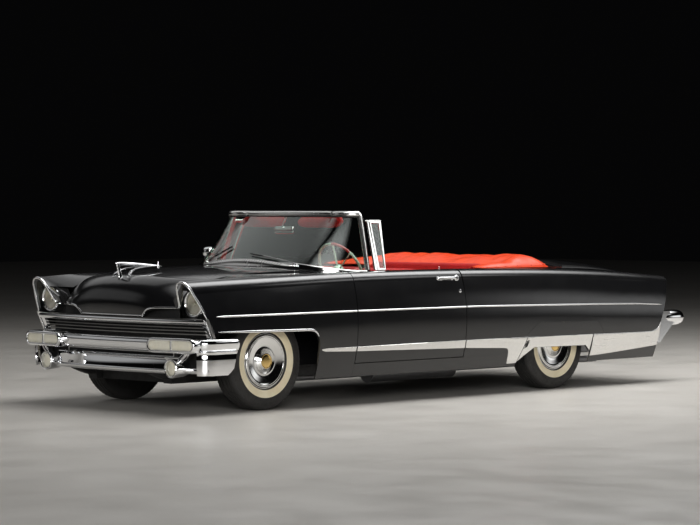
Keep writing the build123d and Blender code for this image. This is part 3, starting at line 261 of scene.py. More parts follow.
# %% Dress the solids
DRESS = {
    black_lacquer: ["fender_left", "fender_right", "door_left", "door_right", "quarter_left",
                    "quarter_right", "hood", "trunk_lid", "rear_deck", "cowl", "wheel_skirts",
                    "tail_panel", "floor_pan"],
    chassis_paint: ["frame", "front_panel", "headlight_buckets"],
    chrome: ["front_bumper", "rear_bumper", "grilles", "headlight_bezels", "windshield_frame"],
    tinted_glass: ["windshield_glass", "vent_glass_left", "vent_glass_right"],
    cream_lens: ["front_lamps"],
    red_lens: ["tail_lamps"],
    red_leather: ["front_seat", "rear_seat"],
    boot_vinyl: ["boot_cover"],
    red_lacquer: ["dashboard"],
    green_plastic: ["steering_wheel", "steering_column"],
    bare_steel: ["driveline", "exhaust", "front_arms", "fuel_tank", "knuckle_left", "knuckle_right"],
    cast_iron: ["engine_block", "rear_axle"],
    tyre_rubber: ["tyre_front_left", "tyre_front_right", "tyre_rear_left", "tyre_rear_right"],
    polished_steel: ["vent_frame_left", "vent_frame_right", "wheel_front_left", "wheel_front_right",
                     "wheel_rear_left", "wheel_rear_right"],
}
for finish, names in DRESS.items():
    for name in names:
        nodes[name].data.materials.clear()
        nodes[name].data.materials.append(finish)
print("dressed solids:", sum(len(names) for names in DRESS.values()))

# %% [markdown]
# ## Tools for new pieces
# Every new piece is a mesh made from points in millimetres, the unit of the car's drawing. A skin goes
# through a row of rings, a bar carries an outline along a path, and a turned piece spins an outline about
# an axle. Left-hand pieces get a right-hand copy with y turned round.

# %% Helpers for meshes
MM = 0.001
DOORS = ("left_door", "right_door")


def piece(name, shape, finish, body="body", slot=None, marks=None, sharp=38.0):
    """A mesh object from (points, faces), riding on a body; marks gives each face's finish."""
    points, faces = shape
    mesh = bpy.data.meshes.new(name)
    mesh.from_pydata([Vector(p) * MM for p in points], [], faces)
    for material in finish if isinstance(finish, list) else [finish]:
        mesh.materials.append(material)
    if marks is not None:
        mesh.polygons.foreach_set("material_index", marks)
    work = bmesh.new()
    work.from_mesh(mesh)
    bmesh.ops.remove_doubles(work, verts=work.verts, dist=0.00002)
    bmesh.ops.recalc_face_normals(work, faces=work.faces)
    work.to_mesh(mesh)
    work.free()
    mesh.shade_smooth()
    mesh.set_sharp_from_angle(angle=math.radians(sharp))
    made = bpy.data.objects.new(name, mesh)
    bpy.context.scene.collection.objects.link(made)
    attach(made, body)
    return made


def pair(name, shape, finish, bodies=("body", "body"), **more):
    """A left-hand piece and its right-hand copy."""
    points, faces = shape
    left = piece(name + "_left", shape, finish, bodies[0], **more)
    turned_points = [(x, -y, z) for x, y, z in points]
    right = piece(name + "_right", (turned_points, faces), finish, bodies[1], **more)
    return left, right


def skin(rings, closed=True, caps=True):
    """Points and faces through rings of equal length; closed joins each ring's ends."""
    count = len(rings[0])
    points = [tuple(p) for ring in rings for p in ring]
    faces = []
    for i in range(len(rings) - 1):
        for j in range(count if closed else count - 1):
            a = i * count + j
            b = i * count + (j + 1) % count
            faces.append((a, b, b + count, a + count))
    if caps:
        last = (len(rings) - 1) * count
        faces.append(tuple(range(count - 1, -1, -1)))
        faces.append(tuple(range(last, last + count)))
    return points, faces


def join(*shapes):
    """Several shapes as one."""
    points = []
    faces = []
    for more_points, more_faces in shapes:
        start = len(points)
        points += list(more_points)
        faces += [tuple(start + i for i in face) for face in more_faces]
    return points, faces


def bar(path, outline, up=(0, 0, 1), caps=True, sizes=None):
    """An outline of (sideways, upwards) carried along a path; sizes scales it at each point."""
    path = [Vector(p) for p in path]
    rings = []
    for i, p in enumerate(path):
        along = (path[min(i + 1, len(path) - 1)] - path[max(i - 1, 0)]).normalized()
        side = along.cross(Vector(up)).normalized()
        top = side.cross(along)
        size = sizes[i] if sizes else 1.0
        rings.append([p + side * a * size + top * b * size for a, b in outline])
    return skin(rings, True, caps)


def turned(outline, steps, axle="Y", place=(0, 0, 0)):
    """A closed outline of (radius, offset along the axle) turned about an axle through place."""
    rings = []
    for i in range(steps + 1):
        angle = 2 * math.pi * (i % steps) / steps
        c, s = math.cos(angle), math.sin(angle)
        if axle == "Y":
            ring = [(r * c, w, r * s) for r, w in outline]
        elif axle == "X":
            ring = [(w, r * c, r * s) for r, w in outline]
        else:
            ring = [(r * c, r * s, w) for r, w in outline]
        rings.append([Vector(p) + Vector(place) for p in ring])
    return skin(rings, True, False)


def round_box(width, height, radius, steps=4):
    """The outline of a rectangle with round corners, about the origin."""
    outline = []
    for k, (sx, sy) in enumerate([(1, 1), (-1, 1), (-1, -1), (1, -1)]):
        for i in range(steps + 1):
            angle = math.pi / 2 * (k + i / steps)
            a = sx * (width / 2 - radius) + radius * math.cos(angle)
            b = sy * (height / 2 - radius) + radius * math.sin(angle)
            outline.append((a, b))
    return outline


def circle(radius, steps=12):
    """The outline of a circle."""
    angles = [2 * math.pi * i / steps for i in range(steps)]
    return [(radius * math.cos(a), radius * math.sin(a)) for a in angles]


def flowing(points, steps=6):
    """A smooth line that passes through all the points."""
    points = [Vector(p) for p in points]
    line = []
    for i in range(len(points) - 1):
        before = points[max(i - 1, 0)]
        after = points[min(i + 2, len(points) - 1)]
        a, b = points[i], points[i + 1]
        for k in range(steps):
            t = k / steps
            line.append(0.5 * (2 * a + (b - before) * t + (2 * before - 5 * a + 4 * b - after) * t ** 2
                               + (3 * a - before - 3 * b + after) * t ** 3))
    line.append(points[-1])
    return line


# %% [markdown]
# Trim follows the panels, so the panels are asked where their surface is: a ray goes in from the side,
# from the front or from above, and the trim is laid on the point that it meets.

# %% Rays onto the panels
def ray_tree(*names):
    """A search tree over the triangles of some solids, in millimetres."""
    points = []
    triangles = []
    for name in names:
        mesh = nodes[name].data
        mesh.calc_loop_triangles()
        start = len(points)
        points += [v.co / MM for v in mesh.vertices]
        triangles += [tuple(start + i for i in t.vertices) for t in mesh.loop_triangles]
    return BVHTree.FromPolygons(points, triangles, all_triangles=True)


left_side = ray_tree("fender_left", "door_left", "quarter_left", "wheel_skirts", "floor_pan")
hood_top = ray_tree("hood")
glass_face = ray_tree("windshield_glass")


def side_point(x, z, proud=0.0):
    """The point of the left body side at x and z, moved outwards by proud."""
    hit, normal = left_side.ray_cast(Vector((x, 1300, z)), Vector((0, -1, 0)))[:2]
    if hit is None:
        near = left_side.find_nearest(Vector((x, 980, z)))[0]
        return Vector((x, near.y + proud, z))
    return hit + normal * proud


def hood_point(y, z, proud=0.0):
    """The point of the hood's nose at y and z, seen from the front."""
    hit, normal = hood_top.ray_cast(Vector((3200, y, z)), Vector((-1, 0, 0)))[:2]
    return hit + normal * proud


def glass_point(y, z, proud=0.0):
    """The point of the windshield at y and z, seen from the front."""
    hit, normal = glass_face.ray_cast(Vector((2200, y, z)), Vector((-1, 0, 0)))[:2]
    return hit + normal * proud


print("door skin at the handle:", [round(c) for c in side_point(216, 930)])

# %% [markdown]
# ## Tyres
# A tyre is a turned profile. The side bulges from the bead to the shoulder, the cream band is part of the
# side with its own rubber, and the tread has four grooves. The shoulder's small lugs come from moving
# every second ring of points inwards. A torus with bump would be quicker, but its outline stays smooth.

# %% Tyres
TYRE_SIDE = [(206, 76), (207, 83), (211, 88), (212, 88.4), (224, 92.4), (238, 95.2), (252, 97),
             (268, 97.4), (269, 97.2), (271, 95.6), (273, 97), (286, 96.6), (300, 95.4), (314, 93),
             (326, 90), (333, 88.2), (335, 90), (343, 87.4), (349, 82), (354, 75), (357.5, 66)]
TREAD = [(358, 56), (350, 54), (350, 48), (358.8, 46), (359.5, 24), (351, 22), (351, 16), (359.9, 14)]
half_outline = TYRE_SIDE + TREAD
TYRE_OUTLINE = half_outline + [(r, -w) for r, w in reversed(half_outline)]
TYRE_STEPS = 144
WHEELS = {"front_left": (1970, 743, 360), "front_right": (1970, -743, 360),
          "rear_left": (-1230, 762, 360), "rear_right": (-1230, -762, 360)}
BAND_R = (212, 268)


def tyre_shape(place):
    """The tyre with its outer side away from the car's middle."""
    out = math.copysign(1, place[1])
    rings = []
    for i in range(TYRE_STEPS + 1):
        angle = 2 * math.pi * (i % TYRE_STEPS) / TYRE_STEPS
        notch = 3.0 * (i % 2)
        ring = []
        for r, w in TYRE_OUTLINE:
            radius = r - notch if 343 <= r <= 357.6 else r
            x = place[0] + radius * math.cos(angle)
            z = place[2] + radius * math.sin(angle)
            ring.append((x, place[1] + out * w, z))
        rings.append(ring)
    return skin(rings, True, False)


count = len(TYRE_OUTLINE)
band_marks = []
for j in range(count):
    (r0, w0), (r1, w1) = TYRE_OUTLINE[j], TYRE_OUTLINE[(j + 1) % count]
    band_marks.append(int(w0 > 0 and w1 > 0 and min(r0, r1) >= BAND_R[0] and max(r0, r1) <= BAND_R[1]))
for corner, place in WHEELS.items():
    tyre = piece("tyre_" + corner + "_rubber", tyre_shape(place), [tyre_rubber, cream_rubber],
                 corner + "_wheel", "tyre", band_marks * TYRE_STEPS)
    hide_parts("tyre_" + corner)
print("tyre outline points:", count)

# %% [markdown]
# ## Wheel covers
# The polished cover is one spun disc: a rolled rim, a wide shallow dish, fine rings on the raised centre,
# and a plain gold disc. It could be stacked from cylinders, but one turned outline keeps it one sheet.

# %% Wheel covers
COVER = [(204, 66), (204, 75), (201, 78), (197, 78), (195, 80), (193, 85), (190, 89), (186, 90.5),
         (182, 89.5), (179, 87), (177, 87.5), (173, 87.5), (170, 85.5), (158, 82.5), (144, 79),
         (130, 75.5), (116, 72.5), (106, 71.6), (99, 72.4), (95, 75), (93, 79), (92, 83)]
RINGS = []
for step in range(8):
    radius = 91 - 4.4 * step
    RINGS += [(radius, 85.5 + 1.2 * step), (radius - 2.2, 84.6 + 1.25 * step)]
DISC = [(55.5, 95.5), (54, 97.2), (51, 97.4), (49, 96), (46, 95.4), (44, 96.2), (30, 97.2), (15, 97.8),
        (0, 98)]
BACK = [(0, 60), (150, 58), (186, 56), (187, -74), (204, -74)]
COVER_OUTLINE = COVER + RINGS + DISC + BACK
COVER_STEPS = 96
cover_marks = []
for j in range(len(COVER_OUTLINE)):
    r, w = COVER_OUTLINE[j]
    cover_marks.append(1 if r <= 54 and w > 90 else 2 if w < 62 else 0)
for corner, place in WHEELS.items():
    out = math.copysign(1, place[1])
    shape = turned([(r, out * w) for r, w in COVER_OUTLINE], COVER_STEPS, "Y", place)
    cover = piece("wheel_" + corner + "_cover", shape, [polished_steel, gold, black_lacquer],
                  corner + "_wheel", "wheel_cover", cover_marks * COVER_STEPS)
    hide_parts("wheel_" + corner)
print("wheel covers:", len(WHEELS))

# %% [markdown]
# ## Side trim
# A thin moulding runs along the upper side, and a wide bright moulding along the lower side. Each is cut
# at the same lines as the panels, because the door's part moves with the door. A cross-section is laid on
# rays at close steps, so the strip follows the panel's curve. A bevelled curve would float or sink in.

# %% Upper moulding
UPPER_X = [-2480, -2148, -1640, -151, 1202, 2570]
UPPER_Z = [660, 674, 684, 706, 708, 704]


def moulding(x0, x1, height, proud, step=30.0):
    """A half-round strip on the left side from x0 to x1, drawn in at the ends of the car."""
    count = int(abs(x1 - x0) / step) + 2
    rings = []
    for x in np.linspace(x0, x1, count):
        middle = float(np.interp(x, UPPER_X, UPPER_Z))
        end = min(abs(x - 2566), abs(x + 2474))
        size = min(1.0, 0.25 + end / 60)
        ring = []
        for k in range(9):
            u = -1 + k / 4
            lift = proud * size * math.sqrt(1 - u * u) - 1.0
            ring.append(side_point(x, middle + u * size * height / 2, lift))
        rings.append(ring)
    return skin(rings)


UPPER_HEIGHT = 15.0
pair("upper_moulding_fender", moulding(2566, 1206, UPPER_HEIGHT, 8), chrome, slot="chrome")
pair("upper_moulding_door", moulding(1192, 8, UPPER_HEIGHT, 8), chrome, DOORS, slot="chrome")
pair("upper_moulding_quarter", moulding(-4, -2474, UPPER_HEIGHT, 8), chrome, slot="chrome")
print("upper moulding height:", UPPER_HEIGHT)

# %% [markdown]
# The wide moulding is a sheet between a lower and an upper line. Each column has a foot and a head, so a
# column can lean where the real seam leans.

# %% Lower bright moulding
def bright_panel(columns, step=22.0, proud=5.0):
    """A bright sheet on the left side; a column is x and z at its foot, then x and z at its head."""
    rows = [(0.0, -1.0), (0.0, 0.6), (0.03, 0.9), (0.10, 1.0), (0.3, 1.0), (0.5, 1.0), (0.7, 1.0),
            (0.84, 1.0), (0.88, 1.5), (0.95, 1.7), (0.99, 1.3), (1.0, 0.6), (1.0, -1.0)]
    rings = []
    for a, b in zip(columns, columns[1:]):
        reach = max(abs(b[0] - a[0]), abs(b[1] - a[1]), abs(b[2] - a[2]))
        count = max(1, int(reach / step))
        for k in range(count):
            t = k / count
            rings.append([p + (q - p) * t for p, q in zip(a, b)])
    rings.append(columns[-1])
    sheet = []
    for x0, z0, x1, z1 in rings:
        ring = []
        for v, lift in rows:
            ring.append(side_point(x0 + (x1 - x0) * v, z0 + (z1 - z0) * v, lift * proud))
        sheet.append(ring)
    return skin(sheet)


FENDER_BRIGHT = [(1562, 432, 1562, 436), (1550, 425, 1550, 441), (1520, 418, 1520, 444),
                 (1206, 408, 1206, 443)]
DOOR_BRIGHT = [(1192, 408, 1192, 443), (8, 386, 8, 449)]
QUARTER_BRIGHT = [(-4, 386, -4, 449), (-459, 368, -459, 449), (-497, 363, -499, 448),
                  (-513, 345, -520, 448), (-521, 300, -540, 448), (-526, 240, -560, 448),
                  (-560, 239, -610, 448), (-634, 241, -720, 448)]
SKIRT_BRIGHT = [(-644, 250, -729, 448), (-700, 288, -770, 447), (-765, 326, -815, 447),
                (-826, 360, -850, 446), (-1000, 358, -1000, 446), (-1470, 353, -1470, 444),
                (-1516, 318, -1532, 443), (-1523, 306, -1538, 443)]
TAIL_BRIGHT = [(-1548, 262, -1548, 443), (-1690, 268, -1690, 442), (-1900, 281, -1900, 440),
               (-2200, 302, -2200, 438), (-2330, 311, -2325, 440), (-2385, 315, -2385, 456),
               (-2408, 317, -2418, 486), (-2415, 320, -2436, 526)]
pair("lower_moulding_fender", bright_panel(FENDER_BRIGHT), brushed_trim, slot="chrome")
pair("lower_moulding_door", bright_panel(DOOR_BRIGHT), brushed_trim, DOORS, slot="chrome")
pair("lower_moulding_quarter", bright_panel(QUARTER_BRIGHT), brushed_trim, slot="chrome")
pair("lower_moulding_skirt", bright_panel(SKIRT_BRIGHT), brushed_trim, slot="chrome")
pair("lower_moulding_tail", bright_panel(TAIL_BRIGHT), brushed_trim, slot="chrome")
print("columns of the tail moulding:", len(TAIL_BRIGHT))

# %% [markdown]
# The front wheel opening has a bright lip along its flat top. It is a small rounded bar that lies on the
# edge of the opening and thins out in the rear corner. A bevel on the fender would change its solid.

# %% Lip of the front wheel opening
lip_line = [(2560, 588), (2300, 585), (2000, 582), (1760, 579.5), (1690, 578), (1648, 571), (1617, 553),
            (1598, 528)]
lip_path = [side_point(x, z + 6, 1.5) for x, z in lip_line]
lip_path = flowing(lip_path, 5)
lip_sizes = [min(1.0, 0.3 + 0.12 * i, 0.25 + 0.09 * (len(lip_path) - 1 - i)) for i in range(len(lip_path))]
pair("arch_lip", bar(lip_path, round_box(14, 18, 6), sizes=lip_sizes), chrome, slot="chrome")

# %% [markdown]
# ## Front bumper
# The bumper is a heavy chromed roll that wraps round to the wheel openings. In plan it is a shallow bow
# with a tight corner at each end. The roll's outline has a rounded top, a crease at its middle and a
# slanting lower face, so the upper half shows the dark room and the lower half shows the pale floor. A
# bent box would lose that crease, so the outline is carried along the line.

# %% Bumper line and roll
CORNER_X, CORNER_Y, CORNER_R = 2600.0, 870.0, 130.0
FACE_X = 2806.0
WRAP_X = 2368.0
bow_depth = FACE_X - CORNER_X
BOW_R = (bow_depth ** 2 + CORNER_Y ** 2 - CORNER_R ** 2) / (2 * (bow_depth - CORNER_R))
meet_angle = math.atan2(CORNER_Y, CORNER_X - FACE_X + BOW_R)
corner_angles = np.linspace(math.pi / 2, meet_angle, 16)
left_line = [(WRAP_X + reach, CORNER_Y + CORNER_R) for reach in (0, 4, 12, 26, 90, 160)]
left_line += [(CORNER_X + CORNER_R * math.cos(a), CORNER_Y + CORNER_R * math.sin(a)) for a in corner_angles]
bow_y = np.linspace(left_line[-1][1], 0, 18)[1:]
left_line += [(FACE_X - BOW_R + math.sqrt(BOW_R ** 2 - y * y), y) for y in bow_y]
bumper_line = left_line + [(x, -y) for x, y in reversed(left_line[:-1])]
ROLL = [(-46, 456), (-46, 542), (-40, 547), (-28, 548), (-18, 546), (-10, 540), (-4, 530), (-1, 519),
        (0, 511), (-1.5, 505), (-4, 492), (-7, 478), (-13, 466), (-22, 457), (-32, 452), (-40, 452)]


def outwards(line, i):
    """The outward direction in plan at point i of a line that runs from the car's left to its right."""
    a = Vector(line[max(i - 1, 0)])
    b = Vector(line[min(i + 1, len(line) - 1)])
    along = (b - a).normalized()
    return Vector((-along.y, along.x))


def wrapped(line, outline, sizes=None, middle=(0, 0)):
    """An outline of (outwards, height) carried along a line in plan; sizes shrinks it about its middle."""
    rings = []
    for i, p in enumerate(line):
        n = outwards(line, i)
        size = sizes[i] if sizes else 1.0
        ring = []
        for a, z in outline:
            a = middle[0] + (a - middle[0]) * size
            ring.append((p[0] + n.x * a, p[1] + n.y * a, middle[1] + (z - middle[1]) * size))
        rings.append(ring)
    return skin(rings)


roll_sizes = [1.0] * len(bumper_line)
for i, size in enumerate((0.55, 0.78, 0.92)):
    roll_sizes[i] = size
    roll_sizes[-1 - i] = size
roll = piece("bumper_roll", wrapped(bumper_line, ROLL, roll_sizes, (-23, 500)), chrome, slot="chrome")
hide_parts("front_bumper")
print("bumper roll bow radius:", round(BOW_R))

# %% [markdown]
# Below each end of the roll hangs a plate with a slanting rear edge. It follows the same line, so its
# columns start at the slant and end where the plate turns the corner.

# %% Bumper end plates and lower bar
def on_line(reach):
    """The point of the left bumper line and its outward direction, reach millimetres from its rear end."""
    for i in range(len(left_line) - 1):
        a, b = Vector(left_line[i]), Vector(left_line[i + 1])
        step = (b - a).length
        if reach <= step or i == len(left_line) - 2:
            return a + (b - a) * (reach / step), outwards(left_line, i + (reach > step / 2))
        reach -= step


PLATE_REACH = 388.0
PLATE_Z = [288, 290, 296, 310, 335, 365, 395, 420, 438, 448, 456]
plate_rings = []
for u in np.linspace(0, 1, 22):
    front = []
    back = []
    for z in PLATE_Z:
        start = float(np.interp(z, [288, 330, 456], [112, 62, 27]))
        p, n = on_line(start + (PLATE_REACH - start) * u)
        proud = -14 + 8 * math.sin(math.pi * min(1.0, (z - 286) / 60) / 2)
        if 430 < z < 446:
            proud -= 5
        front.append((p.x + n.x * proud, p.y + n.y * proud, z))
        back.append((p.x - n.x * 26, p.y - n.y * 26, z))
    plate_rings.append(front + back[::-1])
pair("bumper_end_plate", skin(plate_rings), chrome, slot="chrome")

LOWER = [(-66, 294), (-66, 400), (-62, 408), (-55, 410), (-49, 405), (-40, 384), (-30, 362), (-18, 343),
         (-7, 331), (-1, 323), (0, 316), (-2, 308), (-7, 300), (-14, 294), (-24, 291), (-60, 291)]
LOWER_R = (690 ** 2 + 60 ** 2) / 120
lower_line = [(2790 - LOWER_R + math.sqrt(LOWER_R ** 2 - y * y), y) for y in np.linspace(690, -690, 40)]
piece("bumper_lower_bar", wrapped(lower_line, LOWER), chrome, slot="chrome")
end_bar = flowing([(2668, 712, 319), (2668, 800, 319), (2662, 900, 319), (2636, 972, 319)], 4)
pair("bumper_end_bar", bar(end_bar, round_box(46, 44, 12)), chrome, slot="chrome")
strut = flowing([(2706, 812, 462), (2708, 792, 432), (2712, 752, 398), (2712, 722, 362)], 4)
pair("bumper_strut", bar(strut, round_box(40, 48, 12), up=(1, 0, 0)), chrome, slot="chrome")
iron = [(2561, 425, 262), (2600, 425, 264), (2680, 425, 290), (2735, 425, 312)]
pair("bumper_iron", bar(flowing(iron, 4), round_box(60, 50, 8)), chassis_paint, slot="chassis_paint")
print("lower bar bow radius:", round(LOWER_R))

# %% [markdown]
# ## Lamps in the bumper
# Two long lamps sit in round-ended housings, each lens divided in two by an upright bar. The housing is a
# skin through slot-shaped rings that shrink over the rim. The lens is a grid with moulded flutes, because
# flutes that are only painted on would not bend the light.

# %% Lozenge lamps
LAMP_TURN = math.radians(6.027)
LAMP_PLACE = Vector((2687.97, 715.0, 500.0))
lamp_side = Vector((-math.sin(LAMP_TURN), math.cos(LAMP_TURN), 0))
lamp_front = Vector((math.cos(LAMP_TURN), math.sin(LAMP_TURN), 0))


def in_lamp(a, b, depth):
    """A point of the left lamp housing: sideways, up, and forward from its back."""
    return LAMP_PLACE + lamp_side * a + Vector((0, 0, b)) + lamp_front * depth


def slot_ring(width, height, steps=12):
    """A round-ended outline."""
    radius = height / 2
    straight = width / 2 - radius
    angles = np.linspace(-math.pi / 2, math.pi / 2, steps)
    right = [(straight + radius * math.cos(a), radius * math.sin(a)) for a in angles]
    return right + [(-a, -b) for a, b in right]


HOUSING = [(-10, 0), (-2, 3), (0, 8), (0, 96), (-0.6, 103), (-3, 110), (-7, 115), (-12, 117.6),
           (-17, 117.6), (-21, 115.5), (-23, 111), (-24, 104), (-24, 98)]
housing_rings = []
for grow, depth in HOUSING:
    ring = slot_ring(470 + 2 * grow, 112 + 2 * grow)
    housing_rings.append([in_lamp(a, b, depth) for a, b in ring])
pair("lozenge_housing", skin(housing_rings), chrome, slot="chrome")


def half_height(a, width, height):
    """Half the height of a round-ended outline at a."""
    radius = height / 2
    past = max(0.0, abs(a) - (width / 2 - radius))
    return math.sqrt(max(0.0, radius ** 2 - past ** 2))


def lens_half(a0, a1):
    """One half of the long lens, fluted across."""
    rings = []
    for a in np.linspace(a0, a1, 68):
        height = max(1.0, half_height(a, 420, 62))
        edge = min(1.0, (min(a - a0, a1 - a) + 2) / 14)
        flute = 1.5 * math.cos(2 * math.pi * a / 14)
        face = [in_lamp(a, height * v, 103 + (7 + flute) * (1 - v * v) * edge)
                for v in np.linspace(-1, 1, 11)]
        back = [in_lamp(a, height, 99), in_lamp(a, -height, 99)]
        rings.append(face + back)
    return skin(rings)


long_lens = pair("lozenge_lens", join(lens_half(-209, -8), lens_half(8, 209)), cream_lens, slot="lamp_lens")
divider = bar([in_lamp(0, b, 104) for b in (-34, -20, 0, 20, 34)], round_box(18, 13, 5), up=(1, 0, 0))
pair("lozenge_divider", divider, chrome, slot="chrome")
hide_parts("front_lamps")
print("faces of a long lens:", len(long_lens[0].data.polygons))

# %% [markdown]
# Below the long lamps two round pods stand on the lower bar. They are turned pieces, with a rolled rim
# round a small domed lens.

# %% Round pods
POD = [(0, 2612), (34, 2614), (54, 2632), (64, 2676), (67, 2725), (70, 2762), (70, 2772), (67, 2780),
       (62, 2783.5), (57, 2781.5), (54, 2774), (52, 2758), (0, 2756)]
POD_LENS = [(0, 2757), (50, 2759), (50, 2764), (43, 2770), (28, 2775), (14, 2777), (0, 2777.6)]
pair("pod", turned(POD, 48, "X", (0, 708, 335)), chrome, slot="chrome")
pair("pod_lens", turned(POD_LENS, 48, "X", (0, 708, 335)), cream_lens, slot="lamp_lens")
print("pod radius:", max(r for r, w in POD))

# %% [markdown]
# ## Headlights
# A headlight is three turned pieces: a bright ring, a domed clear lens, and a reflector behind it with a
# small shield in front of the bulb. Spheres cut by booleans would leave ragged rims.

# %% Headlights
LAMP_AXLE = (0, 812, 796)
LAMP_RING = [(82, 2646), (82, 2655), (85, 2660), (90, 2662), (95, 2660.5), (99, 2656), (100.5, 2650),
             (100.5, 2642)]
LAMP_LENS = [(83, 2650), (80, 2656), (66, 2664), (46, 2670.5), (23, 2674), (0, 2675), (0, 2671.5),
             (23, 2670.5), (46, 2667), (65, 2660.5), (77, 2653.5), (80, 2649)]
REFLECTOR = [(82, 2648), (72, 2641), (54, 2633), (30, 2627.5), (0, 2625.5), (0, 2623.8), (83, 2623.8),
             (83, 2648)]
SHIELD = [(0, 2652), (7, 2651), (11, 2646), (11, 2640), (6, 2632), (0, 2630)]
pair("headlight_ring", turned(LAMP_RING, 64, "X", LAMP_AXLE), chrome, slot="chrome")
pair("headlight_lens", turned(LAMP_LENS, 64, "X", LAMP_AXLE), headlight_glass, slot="lamp_lens")
pair("headlight_reflector", join(turned(REFLECTOR, 64, "X", LAMP_AXLE), turned(SHIELD, 24, "X", LAMP_AXLE)),
     lamp_silver, slot="chrome")
print("headlight ring radius:", max(r for r, w in LAMP_RING))

# %% [markdown]
# ## Trim on the hood
# A bright strip edges the hood's lip. It rises in an S from the grille's top bar to the headlight on each
# side, and it moves with the hood. The short end beside the headlight stays on the fender.

# %% Hood lip trim
S_CURVE = [(340, 696), (346, 703), (360, 719), (382, 737), (412, 751), (446, 758), (490, 760), (560, 760),
           (641, 760)]
s_path = flowing([hood_point(y, z, 1.0) for y, z in S_CURVE], 5)
pair("hood_lip_trim", bar(s_path, round_box(14, 13, 5), up=(1, 0, 0.4)), chrome, ("hood", "hood"),
     slot="chrome")
lip_end = hood_point(641, 760, 1.0)
end_path = flowing([(lip_end.x + 2, 660, 760), (2684, 680, 762), (2690, 704, 768)], 4)
pair("headlight_inner_trim", bar(end_path, round_box(14, 13, 5), up=(1, 0, 0.4)), chrome, slot="chrome")
piece("hood_lip_centre_trim", bar([hood_point(y, 700, 0.5) for y in np.linspace(-338, 338, 30)],
                                  round_box(9, 10, 3), up=(1, 0, 0.2)), chrome, "hood", "chrome")
print("hood lip ends at", [round(c) for c in lip_end])

# %% [markdown]
# The ornament on the hood is a plain winged dart: a slim spindle, a swept blade to each side and a short
# stem. The spindle is a skin through circles, and each blade is a thin ribbon that ends at the spindle's
# tail.

# %% Hood ornament
SPINDLE = [(2694, 1068, 0.5), (2690, 1068, 5), (2680, 1068, 9), (2650, 1067, 12.5), (2600, 1065.5, 13.5),
           (2520, 1062, 12), (2420, 1056, 9), (2320, 1049, 5.5), (2262, 1044, 2.5), (2250, 1043, 0.6)]
spindle_rings = [[(x, a, z + b) for a, b in circle(r, 16)] for x, z, r in SPINDLE]
BLADE = [(2646, 86, 0, 3), (2630, 80, 20, 7), (2600, 70, 44, 9), (2550, 55, 66, 9), (2480, 38, 80, 8),
         (2400, 22, 88, 6), (2320, 10, 92, 4), (2262, 3, 92, 2)]


def hood_down(x, y):
    """The height of the hood under x and y."""
    return hood_top.ray_cast(Vector((x, y, 1400)), Vector((0, 0, -1)))[0].z


def blade(side):
    """One blade: a ribbon that leaves the hood, rises and runs back to the tail."""
    rings = []
    for x, y, rise, thick in BLADE:
        foot = hood_down(x, side * y)
        z = foot + 2 + (1043 - foot) * min(1.0, rise / 92)
        width = 10 + 0.22 * (y + 10)
        rings.append([(x, side * (y + a), z + b) for a, b in round_box(width, thick, thick * 0.45, 2)])
    return skin(rings)


stem_foot = hood_down(2650, 0)
stem = [(2648, 0, stem_foot - 2), (2652, 0, stem_foot + 24), (2662, 0, 1028), (2672, 0, 1062)]
stem_shape = bar(flowing(stem, 4), round_box(14, 30, 6), up=(1, 0, 0),
                 sizes=[1.5, 1.35, 1.2, 1.1] + [1.0] * 5 + [0.9] * 4)
piece("hood_ornament", join(skin(spindle_rings), blade(1), blade(-1), stem_shape), chrome, "hood", "chrome")
print("ornament from x", SPINDLE[-1][0], "to", SPINDLE[0][0])

# %% [markdown]
# ## Headlight surrounds and the grille's top bar
# A chrome bead edges the headlight's opening. It climbs the fender's front edge, turns over the top in a
# round arch and comes down beside the hood. The opening lies on the raked plane of the nose, so the path
# needs only y and z, and the plane gives x. The fender itself is asked where its edge is.

# %% Headlight surrounds
NOSE_TOP = (2771.0, 953.0)
NOSE_RAKE = 204.0 / 413.0


def nose_x(z):
    """The x of the raked nose plane at height z."""
    return NOSE_TOP[0] - NOSE_RAKE * (NOSE_TOP[1] - z)


edge = []
for z in (688, 720, 760, 800, 840, 872, 898):
    edge.append((side_point(nose_x(z) - 8, z).y - 5, z))
arch = [(876, 920), (858, 938), (834, 949), (806, 950), (780, 941), (760, 922), (747, 898), (733, 862),
        (718, 815)]
leg = [(706, 780), (698, 765)]
surround_path = flowing([(nose_x(z) + 6, y, z) for y, z in edge + arch + leg], 5)
surround = pair("headlight_surround", bar(surround_path, round_box(15, 17, 6), up=(1, 0, -NOSE_RAKE)),
                chrome, slot="chrome")
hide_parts("headlight_bezels")
print("surround from", [round(c) for c in edge[0]], "to", leg[-1])

# %% [markdown]
# The grille's top bar is a half-round moulding that bows with the nose. Its outline goes along the bow
# like the bumper's roll does.

# %% Grille top bar
GRILLE_HALF = 932.0
GRILLE_X = (2661.0, 2747.0)
grille_bow = GRILLE_X[1] - GRILLE_X[0]
GRILLE_R = (GRILLE_HALF ** 2 + grille_bow ** 2) / (2 * grille_bow)
grille_line = []
for y in np.linspace(GRILLE_HALF, -GRILLE_HALF, 48):
    grille_line.append((GRILLE_X[1] - GRILLE_R + math.sqrt(GRILLE_R ** 2 - y * y), y))
TOP_BAR = [(-28, 652), (-28, 686), (-22, 690), (-12, 690.5), (-3, 687), (3, 680), (6, 671), (6, 662),
           (3, 654), (-3, 649), (-12, 647), (-22, 648)]
piece("grille_top_bar", wrapped(grille_line, TOP_BAR), chrome, slot="chrome")
post_path = [(nose_x(z) + 20, 946 - 0.06 * (690 - z), z) for z in (676, 660, 630, 600, 570, 554)]
pair("grille_end_post", bar(flowing(post_path, 3), round_box(20, 22, 8), up=(1, 0, -NOSE_RAKE)), chrome,
     slot="chrome")
print("grille bow radius:", round(GRILLE_R))

